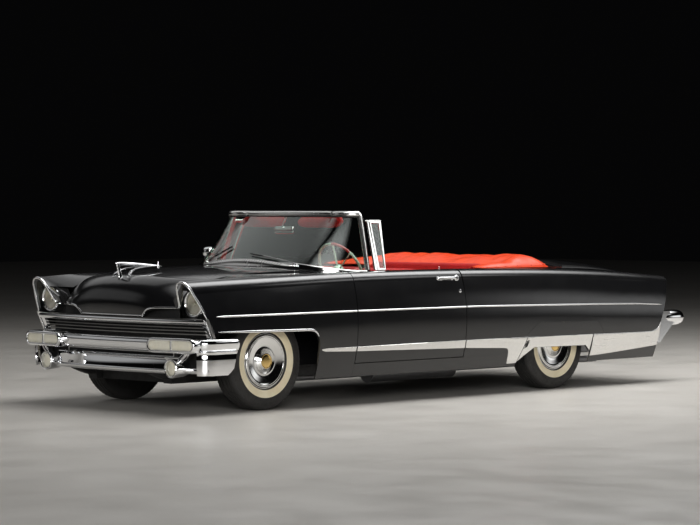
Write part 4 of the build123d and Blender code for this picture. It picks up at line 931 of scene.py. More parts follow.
# %% [markdown]
# ## Windshield frame
# The header, the pillars and the rail at the foot of the glass are chromed. In plan the glass is a
# shallow arc with a tight arc at each end, and the header and the rail follow the same line. A black
# rubber gasket runs between the glass and the metal. A cut cylinder has one radius, so the line is built
# from arcs.

# %% Windshield header and rail
def arc_through(a, middle, b, steps):
    """Points on the arc from a to b through a middle point, in plan."""
    (ax, ay), (mx, my), (bx, by) = a, middle, b
    d = 2 * (ax * (my - by) + mx * (by - ay) + bx * (ay - my))
    sa, sm, sb = ax * ax + ay * ay, mx * mx + my * my, bx * bx + by * by
    cx = (sa * (my - by) + sm * (by - ay) + sb * (ay - my)) / d
    cy = (sa * (bx - mx) + sm * (ax - bx) + sb * (mx - ax)) / d
    start = math.atan2(ay - cy, ax - cx)
    turn = (math.atan2(by - cy, bx - cx) - start + math.pi) % (2 * math.pi) - math.pi
    radius = math.hypot(ax - cx, ay - cy)
    return [(cx + radius * math.cos(start + turn * i / steps),
             cy + radius * math.sin(start + turn * i / steps)) for i in range(steps + 1)]


def shield_line(rear_x, corner_x, centre_x, half, corner_y):
    """The windshield's line in plan, from the left end to the right."""
    bow = 0.2 * (half - corner_y)
    middle = ((corner_x + rear_x) / 2 + bow, (corner_y + half) / 2 + bow)
    left = arc_through((rear_x, half), middle, (corner_x, corner_y), 14)
    centre = arc_through((corner_x, corner_y), (centre_x, 0), (corner_x, -corner_y), 24)
    return left + centre[1:-1] + [(x, -y) for x, y in reversed(left)]


base_line = shield_line(945, 1335, 1420, 860, 540)
top_line = shield_line(897, 950, 1000, 724, 470)
HEADER = [(2, 1415), (4, 1421), (4, 1430), (0, 1439), (-7, 1445.5), (-17, 1449), (-28, 1449.6),
          (-36, 1447), (-41, 1441), (-42, 1430), (-42, 1417), (-38, 1413), (-2, 1413)]
RAIL = [(0, -44), (1, -12), (-1, -5), (-6, 0), (-13, 2), (-20, 0), (-25, -6), (-26, -14), (-26, -44)]
GLASS_FOOT = [(0, 1058), (480, 1058), (620, 1044), (740, 1026), (830, 1008), (860, 1003)]


def foot_z(y):
    """The height of the glass's lower edge, which falls towards the pillars."""
    return float(np.interp(abs(y), [a for a, z in GLASS_FOOT], [z for a, z in GLASS_FOOT]))


def inset(line, i, depth, z):
    """Point i of a line, moved inwards by depth, at height z."""
    n = outwards(line, i)
    return Vector((line[i][0] - n.x * depth, line[i][1] - n.y * depth, z))


rail_rings = []
glass_rings = []
for i, (x, y) in enumerate(base_line):
    rail_rings.append([inset(base_line, i, -a, foot_z(y) + b) for a, b in RAIL])
    outer = inset(base_line, i, 10, foot_z(y) - 6)
    inner = inset(base_line, i, 15, foot_z(y) - 6)
    outer_top = inset(top_line, i, 14, 1421)
    inner_top = inset(top_line, i, 19, 1421)
    up = [outer + (outer_top - outer) * t for t in np.linspace(0, 1, 9)]
    down = [inner_top + (inner - inner_top) * t for t in np.linspace(0, 1, 9)]
    glass_rings.append(up + down)
header = piece("windshield_header", wrapped(top_line, HEADER), brushed_trim, slot="chrome")
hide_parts("windshield_frame")
piece("windshield_rail", skin(rail_rings), polished_steel, slot="chrome")
shield_glass = piece("windshield_pane", skin(glass_rings), tinted_glass, slot="glass")
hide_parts("windshield_glass")
pillar = flowing([(926, 842, 1002), (912, 805, 1115), (897, 765, 1240), (884, 727, 1360), (878, 706, 1412),
                  (880, 690, 1430)], 5)
pair("windshield_pillar", bar(pillar, round_box(36, 38, 13), up=(1, 0, 0.2)), brushed_trim, slot="chrome")
gasket_ends = [(947, 853, 1058), (931, 812, 1160), (915, 768, 1280), (901, 722, 1405)]
gasket_top = [(x - 3, y * 0.995, 1409) for x, y in top_line]
piece("windshield_gasket_top", bar(gasket_top, round_box(12, 14, 4)), tyre_rubber, slot="steering_plastic")
pair("windshield_gasket_side", bar(flowing(gasket_ends, 5), round_box(14, 16, 5), up=(1, 0, 0.2)),
     tyre_rubber, slot="steering_plastic")
print("header width:", round(2 * max(y for x, y in top_line)))

# %% [markdown]
# A low arched grille for fresh air lies between the two wiper pivots, in front of the glass. It is a band
# of bright metal, highest in the middle, and it keeps clear of the hood's rear edge. Its openings are not
# cut out: black bars laid on the band are painted shade, standing for the dark inside of each slot.

# %% Cowl grille
vent_y = np.linspace(-478, 478, 61)
line_y = [y for x, y in reversed(base_line)]
line_x = [x for x, y in reversed(base_line)]
VENT = [(60, 0.0), (58, 0.25), (50, 0.55), (40, 0.82), (28, 0.97), (18, 1.0), (8, 0.94), (5, 0.6), (5, 0.0)]
vent_rings = []
for y in vent_y:
    x = float(np.interp(y, line_y, line_x))
    crown = 8 + 42 * (1 - (y / 490) ** 2)
    vent_rings.append([(x + a * 0.98, y, 1036 + crown * b) for a, b in VENT])
piece("cowl_grille", skin(vent_rings), brushed_trim, slot="chrome")
# Black bars on the band: painted shade where the grille's openings would show dark.
slot_shade_bars = []
for y in np.linspace(-400, 400, 33):
    x = float(np.interp(y, line_y, line_x))
    crown = 8 + 42 * (1 - (y / 490) ** 2)
    slot_shade_bars.append(bar([(x + a * 0.98, y, 1037.2 + crown * b) for a, b in VENT[1:5]],
                     round_box(2.5, 5, 1, 1), up=(0, 1, 0)))
piece("cowl_grille_slot_shade_bars", join(*slot_shade_bars), black_plastic, slot="steering_plastic")
print("cowl grille slots:", len(slot_shade_bars))

# %% [markdown]
# ## Cover over the folded top
# The folded top lies behind the rear seat under a red cover that is snapped to the body. It is U-shaped:
# an arm beside each end of the seat, and a broad roll across the car. It could be draped by simulation,
# but the real one is cut to shape and pulled tight, so it is lofted: each station has an inner edge, an
# outer edge and a height, and low noise puts in the slack folds.

# %% Boot cover
BOOT_STATIONS = [((-275, 790, 1004), (-270, 842, 1003), 8), ((-360, 745, 1004), (-360, 862, 1000), 20),
                 ((-480, 738, 1003), (-480, 866, 999), 34), ((-600, 730, 1000), (-600, 868, 998), 44),
                 ((-690, 690, 985), (-760, 870, 997), 62), ((-700, 620, 975), (-960, 868, 996), 86),
                 ((-695, 540, 968), (-1130, 850, 994), 106), ((-690, 450, 965), (-1228, 740, 1001), 110),
                 ((-688, 300, 965), (-1258, 500, 1018), 94), ((-686, 120, 966), (-1266, 200, 1036), 79),
                 ((-686, 0, 966), (-1266, 0, 1040), 75)]
BOOT_ROWS = 26
BOOT_THICK = 3.0


def mirrored(line):
    """A line from the left to the middle, carried on to the right."""
    return line + [Vector((p.x, -p.y, p.z)) for p in reversed(line[:-1])]


boot_inner = mirrored(flowing([inner for inner, outer, height in BOOT_STATIONS], 9))
boot_outer = mirrored(flowing([outer for inner, outer, height in BOOT_STATIONS], 9))
boot_height = [p.z for p in mirrored(
    flowing([(0, 0, height) for inner, outer, height in BOOT_STATIONS], 9))]


def boot_point(i, v):
    """A point of the cover at station i, from its inner edge (v 0) to its outer edge (v 1)."""
    inner, outer = boot_inner[i], boot_outer[i]
    crown = math.sin(math.pi * v ** 1.16) ** 0.8 if 0 < v < 1 else 0.0
    base = inner + (outer - inner) * v
    fold = ripple.noise(Vector((base.x / 170, base.y / 120, 1.7))) * 17
    fold += ripple.noise(Vector((base.x / 90, base.y / 60, 5.2))) * 3
    lift = crown * (boot_height[i] + fold * min(1.0, boot_height[i] / 60))
    return base + Vector((0, 0, lift))


boot_rings = []
for i in range(len(boot_inner)):
    top = [boot_point(i, v) for v in np.linspace(0, 1, BOOT_ROWS)]
    under = [p - Vector((0, 0, BOOT_THICK)) for p in reversed(top)]
    boot_rings.append(top + under)
boot = piece("boot_cover_vinyl", skin(boot_rings), boot_vinyl, slot="boot_vinyl", sharp=60.0)
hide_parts("boot_cover")
hem = join(bar(boot_outer, circle(4.5, 8)), bar(boot_inner, circle(4.5, 8)))
boot_hem = piece("boot_cover_hem", hem, boot_vinyl, slot="boot_vinyl")

# %% [markdown]
# Snap fasteners hold the cover's outer edge. One small dome is turned once and repeated along the edge.

# %% Snap fasteners
SNAP = [(0, 3.4), (2.2, 3.2), (4, 2.2), (5, 0), (5, -2), (0, -2)]
snaps = []
for i in range(4, len(boot_outer) - 3, 8):
    snaps.append(turned(SNAP, 12, "Z", boot_point(i, 0.965) + Vector((0, 0, 1.5))))
piece("boot_cover_snaps", join(*snaps), red_piping, slot="boot_vinyl")
print("snap fasteners:", len(snaps))

# %% [markdown]
# ## Seats
# Each bench has a cushion and a back, and the front back is split in the middle. A seat pad is foam under
# tight leather, so it swells between its edges. It starts as a slightly small block, is remeshed into
# even faces, and a short cloth run with air pressure blows it up. The underside is pinned, because it
# rests on the springs. The sewn channels come after that, because the remesh would wipe them out.

# %% Padding by cloth simulation
PAD_VOXEL = 0.015
PAD_PRESSURE = 4.0
PAD_FRAMES = 20
CHANNEL = 60.0


def shape_now(made):
    """The object's mesh with its modifiers applied; takes the modifiers off."""
    graph = bpy.context.evaluated_depsgraph_get()
    mesh = bpy.data.meshes.new_from_object(made.evaluated_get(graph))
    made.modifiers.clear()
    made.data = mesh
    return mesh


def swell(made, cap, held):
    """Remeshes a pad and blows it up; no point moves further than cap; held says which points are pinned."""
    remesh = made.modifiers.new("even", "REMESH")
    remesh.mode = "VOXEL"
    remesh.voxel_size = PAD_VOXEL
    mesh = shape_now(made)
    rest = [v.co.copy() for v in mesh.vertices]
    pins = made.vertex_groups.new(name="held")
    pins.add([v.index for v in mesh.vertices if held(v.co / MM)], 1.0, "REPLACE")
    cloth = made.modifiers.new("foam", "CLOTH")
    cloth.settings.vertex_group_mass = "held"
    cloth.settings.use_pressure = True
    cloth.settings.uniform_pressure_force = PAD_PRESSURE
    cloth.settings.effector_weights.gravity = 0.0
    for frame_number in range(1, PAD_FRAMES + 1):
        bpy.context.scene.frame_set(frame_number)
    mesh = shape_now(made)
    made.vertex_groups.clear()
    bpy.context.scene.frame_set(1)
    for vertex, start in zip(mesh.vertices, rest):
        move = vertex.co - start
        if move.length > cap * MM:
            vertex.co = start + move * (cap * MM / move.length)
    made.modifiers.new("round", "SUBSURF").levels = 1
    return shape_now(made)


def sew(mesh, faces_out, depth=7.0):
    """Presses channels into the pad where faces_out says that the leather is on the sitting side."""
    normals = [v.normal.copy() for v in mesh.vertices]
    for vertex, normal in zip(mesh.vertices, normals):
        share = faces_out(vertex.co / MM, normal)
        off = abs((vertex.co.y / MM + CHANNEL / 2) % CHANNEL - CHANNEL / 2)
        vertex.co -= normal * (share * depth * math.exp(-(off / 8) ** 2) * MM)


# %% [markdown]
# A pad's outline is drawn from the side, in x and z, and carried across the seat. Its ends draw in a
# little, and a back's top corners are rounded off.

# %% Seat pads
CUSHION_FRONT = [(352, 440), (352, 512), (384, 528), (600, 534), (770, 538), (806, 530), (820, 505),
                 (808, 445), (780, 436)]
BACK_FRONT = [(345, 500), (318, 560), (256, 780), (196, 975), (180, 1000), (150, 1010), (118, 1009),
              (100, 996), (98, 972), (148, 760), (196, 540), (200, 460), (312, 460)]
CUSHION_REAR = [(-528, 440), (-528, 508), (-500, 522), (-300, 536), (-214, 536), (-192, 522), (-186, 500),
                (-194, 445), (-214, 436)]
BACK_REAR = [(-548, 500), (-556, 560), (-582, 800), (-597, 1004), (-603, 1030), (-617, 1041), (-633, 1037),
             (-641, 1019), (-652, 905), (-652, 500), (-610, 470)]


def pad_block(outline, y0, y1, drop=0.0):
    """A block across the seat from y0 to y1; drop rounds off the top towards the seat's ends."""
    middle = sum((Vector((x, 0, z)) for x, z in outline), Vector()) / len(outline)
    rings = []
    for t in np.linspace(0, 1, 25):
        y = y0 + (y1 - y0) * t
        end = min(t, 1 - t) * abs(y1 - y0)
        size = 1 - 0.14 * max(0.0, 1 - end / 40) ** 2
        lower = drop * max(0.0, (abs(y) - 520) / 170) ** 2
        ring = []
        for x, z in outline:
            p = middle + (Vector((x, 0, z)) - middle) * size
            ring.append((p.x, y, p.z - lower * max(0.0, (p.z - 700) / 320)))
        rings.append(ring)
    return skin(rings)


SEAT_HALF = 682.0
PADS = [("front_cushion", CUSHION_FRONT, -SEAT_HALF, SEAT_HALF, 0, "front_seat"),
        ("front_back_left", BACK_FRONT, 4, SEAT_HALF, 30, None),
        ("front_back_right", BACK_FRONT, -SEAT_HALF, -4, 30, None),
        ("rear_cushion", CUSHION_REAR, -SEAT_HALF, SEAT_HALF, 0, "rear_seat"),
        ("rear_back", BACK_REAR, -SEAT_HALF, SEAT_HALF, 20, None)]


def sitting_side(name):
    """Where a pad has channels: the top of a cushion, or the front of a back."""
    if "cushion" in name:
        return lambda p, n: max(0.0, n.z) * (1.0 if abs(p.y) < 640 else 0.0)
    return lambda p, n: max(0.0, n.x) * (1.0 if abs(p.y) < 640 and 545 < p.z < 935 else 0.0)


for name, outline, y0, y1, drop, node in PADS:
    pad = piece(name, pad_block(outline, y0, y1, drop), red_leather, slot="upholstery")
    low = min(z for x, z in outline) + 14
    mesh = swell(pad, 13.0, lambda p: p.z < low)
    sew(mesh, sitting_side(name))
    mesh.shade_smooth()
    if node:
        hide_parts(node)
    print(name, "faces:", len(mesh.polygons))

# %% [markdown]
# Under the pads stand the seat bases, and a round piping closes the seam along the front of the cushions.
# Only the front of a base shows, so it is a plain block with bevelled ends.

# %% Seat bases and piping
FRONT_BASE = [(210, 316), (790, 316), (796, 400), (796, 437), (200, 455), (196, 330)]
REAR_BASE = [(-764, 440), (-764, 890), (-660, 890), (-656, 480), (-530, 455), (-210, 438), (-204, 330),
             (-204, 316), (-520, 316), (-540, 440)]


def prism(outline, y0, y1, edge=6.0):
    """A block across the car with its ends bevelled."""
    middle = sum((Vector((x, 0, z)) for x, z in outline), Vector()) / len(outline)
    rings = []
    for y, draw in ((y0, edge), (y0 + edge, 0), (y1 - edge, 0), (y1, edge)):
        ring = []
        for x, z in outline:
            away = Vector((x, 0, z)) - middle
            p = middle + away * (1 - draw / max(away.length, 1.0))
            ring.append((p.x, y, p.z))
        rings.append(ring)
    return skin(rings)


pair("front_seat_base", prism(FRONT_BASE, 128, 676), red_leather, slot="upholstery")
pair("rear_seat_base", prism(REAR_BASE, 128, 676), red_leather, slot="upholstery")
seams = []
for x, z, half in ((812, 532, 660), (-190, 528, 660)):
    seams.append(bar([(x, y, z) for y in np.linspace(-half, half, 40)], circle(5, 8)))
piece("seat_piping", join(*seams), red_piping, slot="upholstery")
print("piped seams:", len(seams))

# %% [markdown]
# ## Door cards and side trim
# The inside of each door is a red trimmed panel with upright pleats below a plain band, a bright strip
# between them, an armrest and two cranked handles. Bump could draw the pleats, but they would stay flat
# from the side, so the panel is a grid whose depth follows them.

# %% Trim panels
def trim_panel(x0, x1, z0, z1, y, proud):
    """A padded panel facing the car's middle: pleats below, a plain band above."""
    split = z0 + 0.66 * (z1 - z0)
    rings = []
    for x in np.linspace(x0, x1, int((x1 - x0) / 8)):
        edge = min(1.0, min(x - x0, x1 - x) / 10)
        front = []
        for z in np.linspace(z0, z1, 40):
            rim = min(1.0, min(z - z0, z1 - z) / 10)
            pleat = abs(math.sin(math.pi * (x - x0) / 52)) ** 0.6 if z < split else 0.8
            front.append((x, y - proud * min(edge, rim) * pleat, z))
        rings.append(front + [(x, y + 3, z1), (x, y + 3, z0)])
    return skin(rings)


pair("door_card", trim_panel(24, 884, 380, 982, 864, 8), red_leather, DOORS, slot="upholstery")
pair("quarter_card", trim_panel(-660, -14, 380, 975, 797, 7), red_leather, slot="upholstery")
sill_seal = [(x, 855, 327) for x in np.linspace(20, 1090, 30)]
pair("sill_seal", bar(sill_seal, round_box(10, 32, 4)), tyre_rubber, slot="steering_plastic")
strip = [(x, 853, 763) for x in np.linspace(30, 878, 12)]
pair("door_card_strip", bar(strip, round_box(9, 20, 4)), chrome, DOORS, slot="chrome")
arm_path = flowing([(330, 846, 700), (350, 822, 704), (450, 816, 708), (640, 816, 710), (690, 822, 708),
                    (706, 846, 702)], 6)
pair("armrest", bar(arm_path, round_box(62, 56, 24)), red_leather, DOORS, slot="upholstery")
crank = join(turned([(0, 840), (16, 842), (20, 850), (20, 858), (0, 858)], 24, "Y", (240, 0, 560)),
             bar(flowing([(240, 838, 560), (262, 832, 548), (310, 830, 520)], 5), round_box(9, 15, 4)),
             turned([(0, 808), (8, 809), (11, 816), (10, 830), (0, 832)], 20, "Y", (312, 0, 519)))
latch = join(turned([(0, 840), (16, 842), (20, 850), (20, 858), (0, 858)], 24, "Y", (420, 0, 835)),
             bar(flowing([(420, 838, 835), (392, 834, 838), (330, 832, 840)], 5), round_box(10, 18, 4)))
pair("door_crank", join(crank, latch), chrome, DOORS, slot="chrome")
print("steps along the armrest:", len(arm_path))

# %% [markdown]
# ## Carpets
# The carpets are cut pieces of pile laid on the floor on both sides of the tunnel. Their corners are
# rounded and the pile makes the surface slightly uneven. Hair particles would not outlast an export.

# %% Carpets
def carpet(x0, x1, y0, y1):
    """A cut carpet with round corners, five millimetres thick."""
    centre = Vector(((x0 + x1) / 2, (y0 + y1) / 2, 0))
    rings = []
    for size, z in ((1.0, 312.4), (1.0, 316.4), (0.985, 318), (0.7, 318), (0.35, 318), (0.02, 318)):
        ring = []
        for a, b in round_box(x1 - x0, y1 - y0, 45, 8):
            p = centre + Vector((a, b, 0)) * size
            ring.append((p.x, p.y, z + (1.2 * ripple.noise(p / 40) if z == 318 else 0)))
        rings.append(ring)
    return skin(rings)


for name, place in (("front_carpet", (840, 1150, 130, 770)), ("rear_carpet", (-168, 78, 130, 770))):
    for made in pair(name, carpet(*place), carpet_pile, slot="upholstery"):
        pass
    print(name, "cut from x", place[0], "to", place[1])

# %% [markdown]
# ## Boot lining
# Ribbed boards carry the boot's floor out to the quarters, and an upright board stands between the boot
# and the wheel. They could be plain boxes, but the quarter's wall curves, so a ray from inside the boot
# finds each board's outer edge.

# %% Boot lining
quarter_wall = ray_tree("quarter_left")
BOARD_FRONT = -1660.0
BOARD_REAR = -2395.0
BOARD_INNER = 606.0
BOARD_Z = 412.4
BOARD_SHEET = 4.0
BOARD_RIBS = 24
RIB_HEIGHT = 2.4
BOARD_TOP = 870.0
POST_Y = 588.0
WALL_GAP = 3.0
FAR_WALL = 960.0


def wall_y(x, z):
    """The quarter's inner face at x and z, less a small gap."""
    hit = quarter_wall.ray_cast(Vector((x, 700, z)), Vector((0, 1, 0)))[0]
    return (hit.y if hit else FAR_WALL) - WALL_GAP


floor_rings = []
for i in range(16):
    x = BOARD_FRONT + (BOARD_REAR - BOARD_FRONT) * i / 15
    outer = wall_y(x, BOARD_Z + BOARD_SHEET)
    ring = [(x, BOARD_INNER, BOARD_Z)]
    for j in range(BOARD_RIBS + 1):
        y = BOARD_INNER + (outer - BOARD_INNER) * j / BOARD_RIBS
        ring.append((x, y, BOARD_Z + BOARD_SHEET + RIB_HEIGHT * (j % 2)))
    floor_rings.append(ring + [(x, outer, BOARD_Z)])
upright_rings = []
for i in range(13):
    z = BOARD_Z + (BOARD_TOP - BOARD_Z) * i / 12
    outer = wall_y(BOARD_FRONT - BOARD_SHEET, z)
    back = BOARD_FRONT - BOARD_SHEET
    upright_rings.append([(BOARD_FRONT, POST_Y, z), (BOARD_FRONT, outer, z), (back, outer, z),
                          (back, POST_Y, z)])
pair("boot_side_floor", skin(floor_rings), chassis_paint)
pair("boot_wheel_board", skin(upright_rings), chassis_paint)
print("boot boards reach out to", [round(ring[-1][1]) for ring in floor_rings])

# %% [markdown]
# ## Steering wheel
# The wheel is pale green plastic, and two opposite arcs of its ring are red: one at the top on the
# driver's outer side and another across from it. Two spokes leave the hub for the ends of each red arc.
# Everything is made in the wheel's own plane and turned to the column's rake. A torus has no finger
# grips, so the ring is a skin through circles.

# %% Steering wheel
STEER_PLACE = Vector((770, 400, 1005))
STEER_RAKE = math.radians(28)
STEER_R = 215.0
steer_axis = Vector((math.cos(STEER_RAKE), 0, -math.sin(STEER_RAKE)))
steer_up = Vector((math.sin(STEER_RAKE), 0, math.cos(STEER_RAKE)))
steer_side = Vector((0, 1, 0))
RED_ARC_ANGLES = (40, 88)
RING_STEPS = 120
TUBE_STEPS = 12


def on_wheel(radius, angle, ahead=0.0):
    """A point of the steering wheel at a radius and an angle from its outer side, ahead along the column."""
    way = steer_side * math.cos(angle) + steer_up * math.sin(angle)
    return STEER_PLACE + way * radius + steer_axis * ahead


def on_column(shape):
    """A shape about the Z axis, set on the column."""
    points, faces = shape
    return [STEER_PLACE + steer_side * x + steer_up * y + steer_axis * z for x, y, z in points], faces


ring_rings = []
ring_marks = []
for i in range(RING_STEPS + 1):
    angle = 2 * math.pi * (i % RING_STEPS) / RING_STEPS
    tube = 11.0 + 0.9 * math.cos(30 * angle)
    ring_rings.append([on_wheel(STEER_R + a, angle, b) for a, b in circle(tube, TUBE_STEPS)])
# Two opposite arcs of the ring take the red plastic, and the rest takes the green.
for i in range(RING_STEPS):
    degrees = 360 * i / RING_STEPS % 180
    ring_marks += [int(RED_ARC_ANGLES[0] <= degrees <= RED_ARC_ANGLES[1])] * TUBE_STEPS
wheel_ring = piece("steering_ring", skin(ring_rings, True, False), [green_plastic, red_plastic], "steering",
                   "steering_plastic", ring_marks)
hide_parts("steering_wheel")
spokes = []
for turn in (0, 180):
    for degrees in RED_ARC_ANGLES:
        angle = math.radians(degrees + turn)
        spoke = [on_wheel(34, angle, 26), on_wheel(80, angle, 22), on_wheel(150, angle, 10),
                 on_wheel(212, angle, 1)]
        spokes.append(bar(flowing(spoke, 4), round_box(9, 18, 4), up=steer_axis))
HUB = [(0, -2), (24, 0), (38, 6), (44, 16), (44, 60), (0, 60)]
CAP = [(0, -8), (14, -7.4), (22, -5), (27, -1), (27, 3), (0, 3)]
piece("steering_spokes", join(*spokes, on_column(turned(HUB, 40, "Z"))), green_plastic, "steering",
      "steering_plastic")
piece("steering_cap", on_column(turned(CAP, 40, "Z")), gold, "steering", "chrome")
print("steering wheel spokes:", len(spokes))

# %% [markdown]
# Two thin levers stand out from the column below the wheel: the turn signal on the outer side and the
# gear lever on the inner side, each with a small knob. A bar along a smooth line is enough at this size.

# %% Column levers
KNOB = [(0, -9), (6, -7), (9, 0), (6, 7), (0, 9)]


def lever(side, ahead, length, lift):
    """A rod from the column to one side, with its knob."""
    foot = STEER_PLACE + steer_axis * ahead + steer_side * (24 * side)
    tip = STEER_PLACE + steer_axis * (ahead - 12) + steer_side * (length * side) + steer_up * lift
    rod = flowing([foot, (foot + tip) / 2 + steer_axis * 4, tip], 5)
    return bar(rod, circle(4.5, 10)), turned(KNOB, 16, "Y", tip)


signal_rod, signal_knob = lever(1, 84, 175, 24)
gear_rod, gear_knob = lever(-1, 96, 205, 30)
piece("column_levers", join(signal_rod, gear_rod), chrome, slot="chrome")
piece("column_knobs", join(signal_knob, gear_knob), green_plastic, slot="steering_plastic")
print("faces of the signal lever:", len(signal_rod[1]))

# %% [markdown]
# ## Dashboard
# The red dashboard carries two dials with chrome rims in front of the driver, a speaker grille, a row of
# knobs, and a bright strip from side to side. A picture could show the dials, but ticks and needles that
# are small bars stay sharp from close by.

# %% Dashboard fittings
DASH_X = 990.0
DIAL_Z = 878.0
RIM = [(50, 6), (50, -4), (53, -9), (58, -10), (62, -7), (63, 0), (63, 6)]
FACE = [(0, 1), (51, 1), (51, 5), (0, 5)]
rims, faces, ticks, needles = [], [], [], []
for y in (478, 322):
    place = Vector((DASH_X, y, DIAL_Z))
    rims.append(turned(RIM, 48, "X", place))
    faces.append(turned(FACE, 48, "X", place))
    for k in range(13):
        angle = math.radians(-30 + 20 * k)
        way = Vector((0, math.cos(angle), math.sin(angle)))
        ticks.append(bar([place + way * 38, place + way * 46], round_box(2, 3, 0.5, 1), up=(1, 0, 0)))
    way = Vector((0, math.cos(2.4), math.sin(2.4)))
    needles.append(bar([place - way * 8 - Vector((1, 0, 0)), place + way * 36 - Vector((1, 0, 0))],
                       round_box(3, 3, 1, 1), up=(1, 0, 0), sizes=[1.6, 0.6]))
piece("dial_rims", join(*rims), chrome, slot="chrome")
piece("dial_faces", join(*faces), ivory_face, slot="dash_paint")
piece("dial_ticks", join(*ticks), black_plastic, slot="steering_plastic")
piece("dial_needles", join(*needles), red_plastic, slot="steering_plastic")
strip_z = 832
dash_strip = [(994, y, strip_z) for y in np.linspace(-815, 815, 40)]
slats = [bar([(988, y, z) for y in np.linspace(-120, 120, 12)], round_box(8, 7, 3))
         for z in (860, 876, 892, 908)]
knobs = [turned([(0, -26), (9, -25), (12, -20), (11, -8), (7, -6), (7, 4), (0, 4)], 20, "X", (998, y, 806))
         for y in (560, 470, 330, 240, 150, 60, -60, -150)]
lid = [(987, -300, 918), (987, -700, 918), (993, -700, 846), (993, -300, 846), (987, -300, 918)]
piece("dash_trim", join(bar(dash_strip, round_box(8, 14, 3)), *slats, *knobs,
                        bar(lid, round_box(3, 3, 1, 1), up=(1, 0, 0))), chrome, slot="chrome")
print("dial ticks:", len(ticks), "knobs:", len(knobs))

# %% [markdown]
# ## Under the header
# Two red sun visors hang below the header, and the inner mirror hangs between them on a short stalk. A
# visor is a thin padded board. A bevelled box looks hard, so its sections shrink towards the ends.

# %% Visors and inner mirror
def visor(y0, y1):
    """A padded board below the header."""
    rings = []
    for t in np.linspace(0, 1, 18):
        size = math.sqrt(max(0.02, 1 - (2 * t - 1) ** 6))
        y = y0 + (y1 - y0) * t
        ring = []
        for a, b in round_box(14 * size, 92 * size, 6.5 * size, 3):
            ring.append((915 + a - 0.34 * b, y, 1368 + b))
        rings.append(ring)
    return skin(rings)


pair("sun_visor", visor(70, 570), red_leather, slot="upholstery")
stalk = flowing([(962, 0, 1416), (985, 0, 1385), (1010, 0, 1340), (1004, 0, 1312)], 5)
head_rings = []
for x, grow in ((1006, -14), (1004, -4), (1000, 0), (990, 0), (987, -3)):
    head_rings.append([(x, a, 1300 + b)
                       for a, b in round_box(205 + 2 * grow, 58 + 2 * grow, 16 + min(grow, 0), 5)])
piece("inner_mirror", join(bar(stalk, circle(5.5, 12)), skin(head_rings)), chrome, slot="chrome")
mirror_face = [[(986.6, a, 1300 + b) for a, b in round_box(196, 50, 13, 5)],
               [(986.0, a, 1300 + b) for a, b in round_box(194, 48, 12, 5)]]
piece("inner_mirror_glass", skin(mirror_face), mirror_glass, slot="chrome")
print("sections of the inner mirror:", len(head_rings))

# %% [markdown]
# ## Wipers
# Each wiper has a pivot on the cowl, a thin arm and a blade that lies on the glass. The glass is asked
# where its surface is along the blade, because a straight bar would cut into the curve.

# %% Wipers
WIPERS = {"left": ((1361, 497, 1046), (300, 1086), (0, 1117)),
          "right": ((1361, -497, 1046), (-430, 1090), (-300, 1168))}
for side, (pivot, heel, tip) in WIPERS.items():
    pivot = Vector(pivot)
    blade_path = []
    for t in np.linspace(0, 1, 16):
        y = heel[0] + (tip[0] - heel[0]) * t
        z = heel[1] + (tip[1] - heel[1]) * t
        blade_path.append(glass_point(y, z, 7))
    middle = blade_path[7] + Vector((6, 0, 6))
    arm = flowing([pivot + Vector((0, 0, 12)), pivot + (middle - pivot) * 0.35 + Vector((10, 0, 12)),
                   middle], 6)
    boss = [(0, -12), (19, -12), (19, 4), (14, 12), (0, 15)]
    shape = join(bar(arm, round_box(11, 6, 2.5)), turned(boss, 24, "Z", pivot))
    piece("wiper_arm_" + side, shape, polished_steel, slot="chrome")
    carrier = bar([p + Vector((4, 0, 3)) for p in blade_path], round_box(6, 8, 2))
    piece("wiper_blade_" + side, join(carrier, bar(blade_path, round_box(4, 9, 1.5))), black_plastic,
          slot="steering_plastic")
    print("wiper", side, "heel at", [round(c) for c in blade_path[0]])

# %% [markdown]
# ## Handles, lock, mirror and aerial
# The door handle is a grip on two feet with a push button at its rear end. The lock's round cover sits
# below. The grip could be a bent cylinder, but a bar with changing sizes thins out at its ends.

# %% Door handles and locks
skin_y = side_point(170, 932).y
grip = flowing([(290, skin_y + 1, 931), (278, skin_y + 10, 932), (250, skin_y + 19, 933),
                (190, skin_y + 23, 933), (130, skin_y + 22, 933), (96, skin_y + 16, 932),
                (74, skin_y + 8, 931)], 6)
grip_sizes = [0.6 + 0.4 * min(1.0, i / 8, (len(grip) - 1 - i) / 8) for i in range(len(grip))]
foot = turned([(0, -6), (15, -6), (15, 2), (10, 6), (0, 7)], 28, "Y", (284, skin_y, 931))
foot_rear = turned([(0, -6), (24, -6), (24, 3), (19, 9), (13, 10), (13, 7), (0, 7)], 32, "Y",
                   (74, skin_y, 930))
button = turned([(0, 5), (12, 5), (12, 11), (9, 13), (0, 13.5)], 24, "Y", (74, skin_y, 930))
scoop = [(x, skin_y + 1.5, z) for x, z in ((262, 922), (230, 910), (190, 905), (150, 908), (118, 920))]
pair("door_handle", join(bar(grip, round_box(17, 21, 8), sizes=grip_sizes), foot, foot_rear,
                         bar(flowing(scoop, 5), round_box(7, 5, 2, 2), up=(0, 1, 0))), chrome, DOORS,
     slot="chrome")
pair("door_button", button, bare_steel, DOORS, slot="chrome")
lock_y = side_point(54, 830).y
pair("door_lock", turned([(0, -3), (14, -3), (14, 2), (10, 5), (0, 6)], 28, "Y", (54, lock_y, 830)),
     chrome, DOORS, slot="chrome")
door_top = ray_tree("door_left").ray_cast(Vector((190, 892, 1400)), Vector((0, 0, -1)))[0]
sill_knob = turned([(0, 22), (4, 21), (5, 17), (3.5, 12), (3, -6), (0, -6)], 16, "Z", door_top)
pair("lock_knob", sill_knob, chrome, DOORS, slot="chrome")
vent_top = [(866, 753, 1376), (780, 756, 1377), (704, 759, 1376)]
pair("vent_cap", bar(flowing(vent_top, 4), round_box(12, 10, 4)), polished_steel, DOORS, slot="chrome")
post_rings = []
